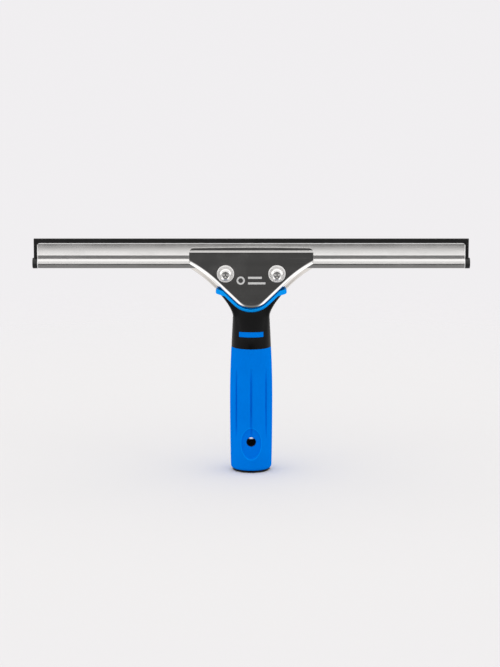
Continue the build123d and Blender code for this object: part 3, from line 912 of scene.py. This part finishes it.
def corner_trim(half, low_z, high_z, corner):
    """A slab whose two upper corners are round, seen from the front."""
    bm = bmesh.new()
    bmesh.ops.create_cube(bm, size=1)
    bmesh.ops.scale(bm, vec=(2 * half, 40, high_z - low_z), verts=bm.verts)
    bmesh.ops.translate(bm, vec=(0, 0, (low_z + high_z) / 2), verts=bm.verts)
    uprights = [
        edge for edge in bm.edges
        if min(vert.co.z for vert in edge.verts) > high_z - 0.01
        and abs(edge.verts[0].co.y - edge.verts[1].co.y) > 1
    ]
    round_off(bm, uprights, corner, segments=8, clamp=False)
    return as_object(bm, "tool_corner_trim")


channel_trim = corner_trim(CHANNEL_HALF, TUBE_Z - 20, CHANNEL_TOP, CHANNEL_CORNER)
carve(channel, channel_trim, operation="INTERSECT")
finish_piece(channel, channel_steel, "channel", "channel_steel", "channel", edge=0.3)

# %% [markdown]
# ## The rubber blade
# The rubber is extruded in one piece: a round bead that the tube holds, and a
# flat web whose square upper edge does the wiping. It could be a rod joined to
# a board by a boolean, but growing half its section and mirroring it gives the
# same solid with no cut. Its upper edges stay crisp, as wiping needs.

# %% Rubber blade
BEAD_RADIUS = 3.4
WEB_HALF = 1.4
PIN_HOLE = 1.1

bm = bmesh.new()
web_join = TUBE_Z + sqrt(BEAD_RADIUS**2 - WEB_HALF**2)
side = [bm.verts.new((blade_low.x, 0, blade_high.z))]
side += grow_straight(bm, side[-1], (0, -WEB_HALF, 0))
side += grow_straight(bm, side[-1], (0, 0, web_join - blade_high.z))
bead_sweep = 90 + degrees(acos(WEB_HALF / BEAD_RADIUS))
grow_arc(bm, side[-1], (blade_low.x, 0, TUBE_Z), (1, 0, 0), bead_sweep, 20)
bmesh.ops.mirror(bm, geom=bm.verts[:] + bm.edges[:], axis="Y", merge_dist=0.001)
bmesh.ops.remove_doubles(bm, verts=bm.verts, dist=0.001)
bmesh.ops.contextual_create(bm, geom=bm.edges[:])
raise_faces(bm, (blade_high.x - blade_low.x, 0, 0))
blade = as_object(bm, "rubber_strip")
carve(
    blade,
    rod(PIN_HOLE, (blade_low.x - 1, 0, TUBE_Z), (blade_low.x + 10, 0, TUBE_Z), 32),
    rod(PIN_HOLE, (blade_high.x + 1, 0, TUBE_Z), (blade_high.x - 10, 0, TUBE_Z), 32),
)
finish_piece(blade, blade_rubber, "blade", "blade_rubber", "rubber_blade", edge=0.12, segments=2)

# %% [markdown]
# ## The end clips
# A black cup closes each end of the tube. A rounded box would not sit flush
# with the tube, so the cup is turned like a lathe part, pin and all, and then
# slotted along its top so that the web can pass through.

# %% End clips
CLIP_OUTER = TUBE_RADIUS + 0.1
CLIP_CAVITY = 3.6
CLIP_PIN = 1.0
CLIP_PIN_LENGTH = 9.0
CLIP_SLOT = 1.6
CLIP_GAP, CLIP_CUP = 0.1, 3.05     # from the tube's end to the cup's mouth, and to its floor
CLIP_ROUND, PIN_ROUND = 0.6, 0.4

for name, body, sign in (("left_end_clip", "left_clip", -1), ("right_end_clip", "right_clip", 1)):
    clip_low, clip_high = node_box(name)
    end_x = clip_low.x if sign < 0 else clip_high.x
    mouth = CHANNEL_HALF + CLIP_GAP
    cup_floor = CHANNEL_HALF + CLIP_CUP
    pin_end = cup_floor - CLIP_PIN_LENGTH
    outer_round = arc_points((CLIP_OUTER - CLIP_ROUND, abs(end_x) - CLIP_ROUND), CLIP_ROUND, 90, 0, 6)
    profile = [(0, abs(end_x)), *outer_round, (CLIP_OUTER, mouth)]
    profile += [(CLIP_CAVITY, mouth), (CLIP_CAVITY, cup_floor), (CLIP_PIN, cup_floor)]
    profile += [*arc_points((CLIP_PIN - PIN_ROUND, pin_end + PIN_ROUND), PIN_ROUND, 0, -90, 4), (0, pin_end)]
    clip = turned(profile, (0, 0, TUBE_Z), (sign, 0, 0), name + "_moulding", steps=64, closed=False)
    slot_start, slot_end = sign * (CHANNEL_HALF - CLIP_CUP), sign * cup_floor
    carve(clip, block((slot_start, -CLIP_SLOT, TUBE_Z), (slot_end, CLIP_SLOT, TUBE_Z + 20)))
    finish_piece(clip, clip_black, body, "clip_plastic", name, edge=0.15)

# %% [markdown]
# ## Screws, washers, nuts and rivets
# Round hardware is turned from a profile, which keeps every edge concentric.
# The screw's cross recess is cut by two tapered blades, as the punch does it.
# A washer has a shallow ring just outside the head, which draws a fine dark
# line round it. The nut is a hexagon trimmed by a turned cone, which leaves
# the curved chamfers of a real one, where a bevel would leave straight ones.

# %% The cross punch and the turned pieces
HEAD_RADIUS = 5.0
HEAD_ROUND = 2.4
SHANK_RADIUS = 2.5
HEAD_TOP = screw_low.y
WASHER_FACE = washer_low.y
TRENCH_INNER, TRENCH_OUTER = 5.05, 5.6     # a pressed ring round the head's rim
TRENCH_SHARE = 0.6
WASHER_RADIUS, WASHER_ROUND, WASHER_CHAMFER = 7.0, 0.4, 0.1
RIM_CHAMFER, TIP_CHAMFER = 0.15, 0.5
CROSS_SPAN, CROSS_WIDTH, CROSS_DEPTH, CROSS_TAPER = 5.4, 1.3, 2.4, 0.72


def cross_blade(x, top_y, wide, tall, depth=CROSS_DEPTH):
    """One blade of the cross punch: a box that narrows towards its point."""
    bm = bmesh.new()
    bmesh.ops.create_cube(bm, size=1)
    bmesh.ops.scale(bm, vec=(wide, depth + 1, tall), verts=bm.verts)
    point = [vert for vert in bm.verts if vert.co.y > 0]
    bmesh.ops.scale(bm, vec=(CROSS_TAPER, 1, CROSS_TAPER), verts=point)
    bmesh.ops.translate(bm, vec=(x, top_y + (depth - 1) / 2, SCREW_Z), verts=bm.verts)
    return as_object(bm, "tool_cross_blade")


for side, x in (("left", -SCREW_X), ("right", SCREW_X)):
    head_height = WASHER_FACE - HEAD_TOP
    shank_end = WASHER_FACE - screw_high.y
    dome = arc_points((HEAD_RADIUS - HEAD_ROUND, head_height - HEAD_ROUND), HEAD_ROUND, 90, 0, 12)
    profile = [(0, head_height), *dome, (HEAD_RADIUS, RIM_CHAMFER), (HEAD_RADIUS - RIM_CHAMFER, 0)]
    profile += [(SHANK_RADIUS, 0), (SHANK_RADIUS, shank_end + TIP_CHAMFER)]
    profile += [(SHANK_RADIUS - TIP_CHAMFER, shank_end), (0, shank_end)]
    seat = (x, WASHER_FACE, SCREW_Z)
    screw = turned(profile, seat, (0, -1, 0), side + "_screw_turned", steps=80, closed=False)
    level_blade = cross_blade(x, HEAD_TOP, CROSS_SPAN, CROSS_WIDTH)
    upright_blade = cross_blade(x, HEAD_TOP, CROSS_WIDTH, CROSS_SPAN)
    carve(screw, level_blade, upright_blade)
    finish_piece(screw, fastener_steel, side + "_screw", "fastener_steel", side + "_screw", edge=0.12)

    thickness = washer_high.y - washer_low.y
    trench = thickness * (1 - TRENCH_SHARE)
    profile = [(SCREW_HOLE, 0), (SCREW_HOLE, thickness), (TRENCH_INNER, thickness), (TRENCH_INNER, trench)]
    profile += [(TRENCH_OUTER, trench), (TRENCH_OUTER, thickness)]
    profile += arc_points((WASHER_RADIUS - WASHER_ROUND, thickness - WASHER_ROUND), WASHER_ROUND, 90, 0, 6)
    profile += [(WASHER_RADIUS, WASHER_CHAMFER), (WASHER_RADIUS - WASHER_CHAMFER, 0)]
    washer = turned(profile, (x, washer_high.y, SCREW_Z), (0, -1, 0), side + "_washer_turned")
    finish_piece(washer, washer_steel, "front_clamp", "fastener_steel", side + "_washer", edge=0.1)

# %% Nuts
NUT_FLATS = 8.0
NUT_BORE = 2.55
NUT_CHAMFER, NUT_CROWN = 0.45, 0.15

for side, x in (("left", -SCREW_X), ("right", SCREW_X)):
    corner = NUT_FLATS / sqrt(3)
    height = nut_high.y - nut_low.y
    bm = bmesh.new()
    bmesh.ops.create_cone(bm, cap_ends=True, segments=6, radius1=corner, radius2=corner, depth=height)
    bmesh.ops.rotate(bm, cent=(0, 0, 0), matrix=Matrix.Rotation(pi / 2, 3, "X"), verts=bm.verts)
    bmesh.ops.rotate(bm, cent=(0, 0, 0), matrix=Matrix.Rotation(pi / 6, 3, "Y"), verts=bm.verts)
    bmesh.ops.translate(bm, vec=(x, (nut_low.y + nut_high.y) / 2, SCREW_Z), verts=bm.verts)
    nut = as_object(bm, side + "_nut_hexagon")
    profile = [(0, 0), (corner + 0.1, 0), (corner + 0.1, height - NUT_CHAMFER)]
    profile += [(NUT_FLATS / 2 - NUT_CROWN, height), (0, height)]
    cone = turned(profile, (x, nut_low.y, SCREW_Z), (0, 1, 0), "tool_nut_cone", closed=False)
    carve(nut, cone, operation="INTERSECT")
    carve(nut, rod(NUT_BORE, (x, nut_low.y - 1, SCREW_Z), (x, nut_high.y + 1, SCREW_Z), 48))
    finish_piece(nut, fastener_steel, "handle", "fastener_steel", side + "_nut", edge=0.1, sharp=25)

# %% Rivets through the tongue: two in one piece, as in the frame
RIVET_HEAD = 3.0
RIVET_HEAD_HEIGHT = 1.3
RIVET_ROUND = 1.2
rivet_length = rivets_high.y - rivets_low.y
upper_head, crown = rivet_length - RIVET_HEAD_HEIGHT, RIVET_HEAD - RIVET_ROUND
profile = [(0, rivet_length), *arc_points((crown, rivet_length - RIVET_ROUND), RIVET_ROUND, 90, 0, 8)]
profile += [(RIVET_HEAD, upper_head), (RIVET_RADIUS, upper_head)]
profile += [(RIVET_RADIUS, RIVET_HEAD_HEIGHT), (RIVET_HEAD, RIVET_HEAD_HEIGHT)]
profile += [*arc_points((crown, RIVET_ROUND), RIVET_ROUND, 0, -90, 8), (0, 0)]
foot = (-RIVET_X, rivets_low.y, RIVET_Z)
rivets = turned(profile, foot, (0, 1, 0), "tongue_rivet_pair", steps=48, closed=False)
bm = bmesh.new()
bm.from_mesh(rivets.data)
twin = bmesh.ops.duplicate(bm, geom=bm.verts[:] + bm.edges[:] + bm.faces[:])
bmesh.ops.translate(bm, vec=(2 * RIVET_X, 0, 0), verts=verts_in(twin["geom"]))
bm.to_mesh(rivets.data)
bm.free()
finish_piece(rivets, fastener_steel, "handle", "fastener_steel", "tongue_rivets")

# %% [markdown]
# ## The grip
# The blue sleeve is one soft moulding. Its grooves could be cut by booleans,
# but a moulded groove has soft shoulders and fades out at its ends. So a
# profile is turned round the handle, in narrow steps where a finger groove
# runs and in wide steps between, which keeps the grooves crisp without wasting
# faces. The grooves and the shallow oval round the hang hole are then pressed
# in by moving points along their own radius.

# %% The sleeve's profile
DEPTH_RATIO = 0.925
CORE_RADIUS = 12.7
FOOT_HALF, BELLY_HALF_WIDTH, TOP_HALF = 16.8, 17.5, 16.3
BELLY_Z = GRIP_FOOT + 0.575 * (GRIP_TOP - GRIP_FOOT)
FOOT_ROUND = 2.4
TOP_ROUND = 0.55


def grip_half(z):
    """Half the sleeve's width at height z."""
    end_half, end_z = (FOOT_HALF, GRIP_FOOT) if z < BELLY_Z else (TOP_HALF, GRIP_TOP)
    return BELLY_HALF_WIDTH - (BELLY_HALF_WIDTH - end_half) * ((z - BELLY_Z) / (end_z - BELLY_Z)) ** 2


GRIP_ROWS = 150
row_low, row_high = GRIP_FOOT + FOOT_ROUND, GRIP_TOP - TOP_ROUND
profile = [(CORE_RADIUS, GRIP_FOOT), *arc_points((FOOT_HALF - FOOT_ROUND, row_low), FOOT_ROUND, -90, 0, 8)]
for row in range(1, GRIP_ROWS):
    level = row_low + (row_high - row_low) * row / GRIP_ROWS
    profile.append((grip_half(level), level))
profile += arc_points((TOP_HALF - TOP_ROUND, row_high), TOP_ROUND, 0, 90, 5)
profile.append((CORE_RADIUS, GRIP_TOP))
print("sleeve profile of", len(profile), "points, belly at", round(BELLY_Z, 1))

# %% Turn it sector by sector: narrow steps at a groove, wide steps between
GROOVES = 8
NARROW, NARROW_STEPS, WIDE_STEPS = radians(7.0), 14, 22

bm = bmesh.new()
ring = [bm.verts.new((radius, 0, height)) for radius, height in profile]
section = ring + [bm.edges.new(pair) for pair in zip(ring, ring[1:] + ring[:1])]
bmesh.ops.rotate(bm, cent=(0, 0, 0), matrix=Matrix.Rotation(-NARROW / 2, 3, "Z"), verts=bm.verts)
for _ in range(GROOVES):
    for angle, steps in ((NARROW, NARROW_STEPS), (2 * pi / GROOVES - NARROW, WIDE_STEPS)):
        grown = bmesh.ops.spin(
            bm, geom=section, cent=(0, 0, 0), axis=(0, 0, 1), dvec=(0, 0, 0),
            angle=angle, steps=steps, use_merge=False, use_duplicate=False,
        )
        section = [item for item in grown["geom_last"] if not isinstance(item, bmesh.types.BMFace)]
bmesh.ops.remove_doubles(bm, verts=bm.verts, dist=0.001)
print("grip points", len(bm.verts))

# %% Press in the grooves, the oval and the hole's soft rim
GROOVE_HALF, GROOVE_SHOULDER = 0.42, 0.98
GROOVE_DEPTH, GROOVE_RUNOUT = 1.3, 0.6
GROOVE_FOOT, GROOVE_TOP = 28.5, GRIP_TOP - 16.0
OVAL_DEPTH, OVAL_SHOULDER = 0.8, 0.09
HOLE_RADIUS, HOLE_Z, HOLE_ROUND = 4.0, 26.3, 1.1
BORE_SKIN = 0.5                # points nearer than this to the bore are its wall, and stay
FRONT_FROM = 8.0               # the oval is only on the front and the back


def ease(value):
    """Zero to one with a smooth start and end."""
    value = min(max(value, 0.0), 1.0)
    return value * value * (3 - 2 * value)


def groove_press(x, y, z):
    """How far a groove pushes this point in."""
    angle = atan2(y, x)
    off = (angle + pi / GROOVES) % (2 * pi / GROOVES) - pi / GROOVES
    distance = abs(off) * hypot(x, y)
    along = (z - (GROOVE_FOOT + GROOVE_TOP) / 2) / ((GROOVE_TOP - GROOVE_FOOT) / 2)
    if abs(along) >= 1 or distance > GROOVE_SHOULDER:
        return 0.0
    depth = GROOVE_DEPTH * (1 - along * along) ** GROOVE_RUNOUT
    return depth * (1 - ease((distance - GROOVE_HALF) / (GROOVE_SHOULDER - GROOVE_HALF)))


def front_press(x, y, z):
    """How far the oval and the hole's rim push this point in."""
    reach = hypot(x / OVAL_HALF_X, (z - OVAL_Z) / OVAL_HALF_Z)
    press = OVAL_DEPTH * (1 - ease((reach - 1 + OVAL_SHOULDER) / OVAL_SHOULDER)) if reach < 1 else 0.0
    rim = hypot(x, z - HOLE_Z) - HOLE_RADIUS
    if rim < HOLE_ROUND:
        fall = HOLE_ROUND - max(rim, 0.0)
        press += HOLE_ROUND - sqrt(HOLE_ROUND**2 - fall**2)
    return press


for vert in bm.verts:
    x, y, z = vert.co
    if hypot(x, y) < CORE_RADIUS + BORE_SKIN:
        continue
    vert.co.y = y * DEPTH_RATIO
    press = groove_press(x, y, z) + (front_press(x, y, z) if abs(y) > FRONT_FROM else 0.0)
    if press:
        radius = hypot(vert.co.x, vert.co.y)
        vert.co.x *= 1 - press / radius
        vert.co.y *= 1 - press / radius
grip = as_object(bm, "grip_moulding")
carve(grip, rod(HOLE_RADIUS, (0, -40, HOLE_Z), (0, 40, HOLE_Z), 72))
finish_piece(grip, blue_grip, "handle", "blue_soft_grip", "grip_sleeve", sharp=50, flat_faces=False)

# %% [markdown]
# ## The end cap
# The cap is the black disc that the squeegee stands on. It is turned round,
# then narrowed from front to back so that it follows the oval grip, while the
# bore for the pole stays round.

# %% End cap
CAP_HALF = cap_high.x
SOCKET_RADIUS = 11.0
CAP_THICKNESS = GRIP_FOOT
CAP_ROUND = 1.0
COLLAR_OUTER, COLLAR_INNER = CORE_RADIUS, CORE_RADIUS - 0.8
profile = [(SOCKET_RADIUS, 0), *arc_points((CAP_HALF - CAP_ROUND, CAP_ROUND), CAP_ROUND, -90, 0, 8)]
profile += [(CAP_HALF, CAP_THICKNESS), (COLLAR_OUTER, CAP_THICKNESS), (COLLAR_OUTER, cap_high.z)]
profile += [(COLLAR_INNER, cap_high.z), (COLLAR_INNER, CAP_THICKNESS), (SOCKET_RADIUS, CAP_THICKNESS)]
end_cap = turned(profile, (0, 0, 0), (0, 0, 1), "end_cap_moulding", steps=128)
for vert in end_cap.data.vertices:
    if hypot(vert.co.x, vert.co.y) > COLLAR_OUTER + 0.1:
        vert.co.y *= cap_high.y / CAP_HALF
finish_piece(end_cap, neck_black, "handle", "black_plastic", "end_cap", edge=0.15)

# %% [markdown]
# ## The neck, its inlay and the blue lip
# The neck grows from the oval grip into two square ears. It is a stack of
# rings, each a circle pushed towards a rounded rectangle, bridged from one to
# the next. The outline's block then cuts the cradle for the jaws, the lip is
# the layer between two such cuts, and the inlay is a strip cut from the same
# stack, so its face follows the neck exactly.

# %% The neck's blank
WAIST_Z = KEEL_Z - 6.3
WAIST_HALF = 15.1
EAR_HALF, EAR_Z = 28.6, KEEL_Z + 15.2
NECK_TOP = KEEL_Z + 13.4
CRADLE_FRONT, CRADLE_BACK = 6.6, 10.6
NECK_RINGS = 44
RING_POINTS = 112
EAR_FLARE = 1.5                # how late the neck's sides sweep out to the ears
SQUARENESS = 3                 # how square the top ring is; the lowest is an ellipse


def neck_blank(name):
    """The solid neck before it is cut."""
    bm = bmesh.new()
    loops = []
    for step in range(NECK_RINGS + 1):
        rise = step / NECK_RINGS
        z = GRIP_TOP + (NECK_TOP - GRIP_TOP) * rise
        if z < WAIST_Z:
            half = TOP_HALF + (WAIST_HALF - TOP_HALF) * (z - GRIP_TOP) / (WAIST_Z - GRIP_TOP)
        else:
            half = WAIST_HALF + (EAR_HALF - WAIST_HALF) * ((z - WAIST_Z) / (EAR_Z - WAIST_Z)) ** EAR_FLARE
        grip_depth = TOP_HALF * DEPTH_RATIO
        share = (1 + cos(pi * rise)) / 2
        front_depth = CRADLE_FRONT + (grip_depth - CRADLE_FRONT) * share
        back_depth = CRADLE_BACK + (grip_depth - CRADLE_BACK) * share
        power = 2 / (2 + SQUARENESS * rise**2)
        ring = bmesh.ops.create_circle(bm, segments=RING_POINTS, radius=1)["verts"]
        for vert in ring:
            c, s = vert.co.x, vert.co.y
            depth = back_depth if s > 0 else front_depth
            x = copysign(abs(c) ** power, c) * half
            y = copysign(abs(s) ** power, s) * depth
            vert.co = (x, y, z)
        loops.append([edge for edge in bm.edges if edge.verts[0] in ring and edge.verts[1] in ring])
        if step in (0, NECK_RINGS):
            bmesh.ops.contextual_create(bm, geom=loops[-1])
    for lower, upper in zip(loops, loops[1:]):
        bmesh.ops.bridge_loops(bm, edges=lower + upper)
    return as_object(bm, name)


# %% Tools for the ears and the tongue
LIP_THICKNESS = 2.1
SEAT_GAP = 0.2
EAR_ROOT = (22.6, KEEL_Z + 13.0)
EAR_TIP = (27.2, KEEL_Z + 14.5)
EAR_RADIUS = 1.85
TONGUE_HALF, TONGUE_FRONT = 12.0, -4.0
LIP_BACK = REAR_FACE_Y


def ear_block(side):
    """A round-ended bar along one ear: a disc whose outer half is drawn out."""
    bm = bmesh.new()
    bmesh.ops.create_circle(bm, cap_ends=True, segments=48, radius=EAR_RADIUS)
    run, rise = EAR_TIP[0] - EAR_ROOT[0], EAR_TIP[1] - EAR_ROOT[1]
    outer = [vert for vert in bm.verts if vert.co.x > 0.001]
    bmesh.ops.translate(bm, vec=(hypot(run, rise), 0, 0), verts=outer)
    bmesh.ops.rotate(bm, cent=(0, 0, 0), matrix=Matrix.Rotation(atan2(rise, run), 3, "Z"), verts=bm.verts)
    bmesh.ops.rotate(bm, cent=(0, 0, 0), matrix=Matrix.Rotation(pi / 2, 3, "X"), verts=bm.verts)
    bmesh.ops.translate(bm, vec=(EAR_ROOT[0], -CRADLE_FRONT, EAR_ROOT[1]), verts=bm.verts)
    raise_faces(bm, (0, LIP_BACK + CRADLE_FRONT, 0))
    if side < 0:
        bmesh.ops.scale(bm, vec=(-1, 1, 1), verts=bm.verts)
    return as_object(bm, "tool_ear")


def tongue_block():
    """The core's tongue, which passes up through the neck and the lip."""
    return block((-TONGUE_HALF, TONGUE_FRONT, GRIP_TOP - 5), (TONGUE_HALF, LIP_BACK + 0.01, 200))


# %% The blue lip
lip = vee_block(-SEAT_GAP - LIP_THICKNESS, -CRADLE_FRONT, LIP_BACK, "cradle_lip_moulding")
carve(lip, block((-EAR_ROOT[0], -40, 0), (EAR_ROOT[0], 40, EAR_ROOT[1])), operation="INTERSECT")
carve(lip, ear_block(-1), ear_block(1), operation="UNION")
carve(lip, vee_block(-SEAT_GAP, -40, 40), tongue_block())
finish_piece(lip, blue_lip, "handle", "blue_soft_lip", "cradle_lip", edge=0.45, sharp=50, segments=4)

# %% The inlay and the neck
INLAY_HALF, INLAY_HEIGHT, INLAY_BACK = 10.0, 4.2, -9.5
INLAY_Z = GRIP_TOP + 11.8
INLAY_SEAM = 0.18


def inlay_box(grow):
    """The inlay's bar, grow millimetres larger all round."""
    low = (-INLAY_HALF - grow, -30, INLAY_Z - INLAY_HEIGHT / 2 - grow)
    high = (INLAY_HALF + grow, INLAY_BACK + grow, INLAY_Z + INLAY_HEIGHT / 2 + grow)
    return block(low, high)


inlay = neck_blank("neck_inlay_moulding")
carve(inlay, inlay_box(0.0), operation="INTERSECT")
finish_piece(inlay, blue_grip, "handle", "blue_soft_lip", "neck_inlay", edge=0.3, sharp=50)

neck = neck_blank("neck_moulding")
carve(
    neck,
    vee_block(-SEAT_GAP - LIP_THICKNESS, -40, LIP_BACK),
    vee_block(-REAR_CURL, LIP_BACK - 0.01, 40),
    ear_block(-1),
    ear_block(1),
    inlay_box(INLAY_SEAM),
    tongue_block(),
)
finish_piece(neck, neck_black, "handle", "black_plastic", "neck_shell", edge=0.4, sharp=40)

# %% [markdown]
# ## Pieces kept from the frame
# The core and the spacer tubes are almost hidden, and their shapes are right
# already, so they only get their finishes.

# %% Finishes for the kept pieces
kept_finishes = {"handle_core": core_black, "left_spacer": fastener_steel, "right_spacer": fastener_steel}
for node, finish in kept_finishes.items():
    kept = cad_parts[node]
    kept.data.materials.clear()
    kept.data.materials.append(finish)
    print(node, "keeps its shape and gets", finish.name)

# %% [markdown]
# ## The studio
# Polished steel shows nothing of its own: it shows the room. Lamps and cards
# could be real objects, but each would be seen and would need its own tuning.
# Here the room is one sphere of soft light, worked out from a direction alone.
# It is brighter overhead and at both sides. A dark card stands low in front
# and reaches far down, which turns the flat front jaw dark. A narrow lamp low
# at each side of the card shows in the rounded rim along the vee, and a window
# above the card brightens the channel. The eye itself sees a plain backdrop.

# %% The room, by a direction's height (-1 to 1), its front and its sideways reach
ROOM_LEVEL = 0.62
OVERHEAD_GAIN, SIDE_GAIN, LOW_SIDE_GAIN, WINDOW_GAIN = 0.65, 0.70, 0.95, 0.64
CARD_SHADE_LOW, CARD_SHADE_HIGH = 0.62, 0.885

scene.view_settings.view_transform = "Standard"
world = bpy.data.worlds.new("studio_room")
scene.world = world
world.use_nodes = True
tree = world.node_tree
tree.nodes.clear()
outlook = add_node(tree, "ShaderNodeTexCoord").outputs["Generated"]
heading = add_node(tree, "ShaderNodeSeparateXYZ", Vector=outlook).outputs
height = heading["Z"]
sideways = maths(tree, "ABSOLUTE", heading["X"])
front_face = ramp(tree, times(tree, heading["Y"], -1.0), 0.2, 0.6)

overhead = ramp(tree, height, 0.45, 0.8)
side_box = times(tree, ramp(tree, sideways, 0.55, 0.85), ramp(tree, height, -0.25, 0.0))
low_side = times(tree, band(tree, sideways, 0.18, 0.40, 0.50, 0.66), fall(tree, height, -0.45, -0.20))
window = times(tree, band(tree, height, -0.10, 0.12, 0.24, 0.38), front_face)
low_front = maths(tree, "MAXIMUM", front_face, fall(tree, height, -0.9, -0.6))
card = times(tree, fall(tree, height, -0.15, 0.04), fall(tree, sideways, 0.16, 0.36), low_front)
card_shade = ramp(tree, height, -0.75, -0.30, CARD_SHADE_LOW, CARD_SHADE_HIGH)

level = ROOM_LEVEL
for light, gain in (
    (overhead, OVERHEAD_GAIN), (side_box, SIDE_GAIN), (low_side, LOW_SIDE_GAIN), (window, WINDOW_GAIN)
):
    level = maths(tree, "MULTIPLY_ADD", light, gain, level)
level = times(tree, level, all_but(tree, card, card_shade))

# %% What lights the squeegee, and what the eye sees behind it
room = add_node(tree, "ShaderNodeBackground", Color=(1.0, 0.99, 0.985, 1), Strength=level).outputs[0]
backdrop = add_node(tree, "ShaderNodeBackground", Color=(0.875, 0.860, 0.875, 1), Strength=1.0).outputs[0]
eye = add_node(tree, "ShaderNodeLightPath").outputs["Is Camera Ray"]
choice = add_node(tree, "ShaderNodeMixShader", _0=eye, _1=room, _2=backdrop).outputs[0]
add_node(tree, "ShaderNodeOutputWorld", Surface=choice)
print("room of", len(tree.nodes), "nodes")

# %% [markdown]
# The floor is a large plain sheet that fades into the backdrop with distance,
# so no edge or horizon shows. Near the foot it takes the soft contact shadow.
# Mirrors look through it, so the steel shows the dark card and not pale paper.

# %% The floor
FLOOR_RADIUS = 3.0
FADE_FROM, FADE_TO = 0.30, 0.85

bm = bmesh.new()
bmesh.ops.create_circle(bm, cap_ends=True, segments=96, radius=FLOOR_RADIUS)
floor_mesh = bpy.data.meshes.new("studio_floor")
bm.to_mesh(floor_mesh)
bm.free()
floor = bpy.data.objects.new("studio_floor", floor_mesh)
scene.collection.objects.link(floor)
pale_floor = bpy.data.materials.new("pale_floor")
pale_floor.use_nodes = True
tree = pale_floor.node_tree
tree.nodes.clear()
place = add_node(tree, "ShaderNodeTexCoord").outputs["Object"]
reach = add_node(tree, "ShaderNodeVectorMath", {"operation": "LENGTH"}, _0=place).outputs["Value"]
mirrored = add_node(tree, "ShaderNodeLightPath").outputs["Is Glossy Ray"]
fade = maths(tree, "MAXIMUM", ramp(tree, reach, FADE_FROM, FADE_TO), mirrored)
paper = add_node(tree, "ShaderNodeBsdfDiffuse", Color=(0.755, 0.750, 0.755, 1)).outputs[0]
clear = add_node(tree, "ShaderNodeBsdfTransparent").outputs[0]
cover = add_node(tree, "ShaderNodeMixShader", _0=fade, _1=paper, _2=clear).outputs[0]
add_node(tree, "ShaderNodeOutputMaterial", Surface=cover)
floor.data.materials.append(pale_floor)
print("floor fades from", FADE_FROM, "to", FADE_TO, "m")

bpy.context.view_layer.update()
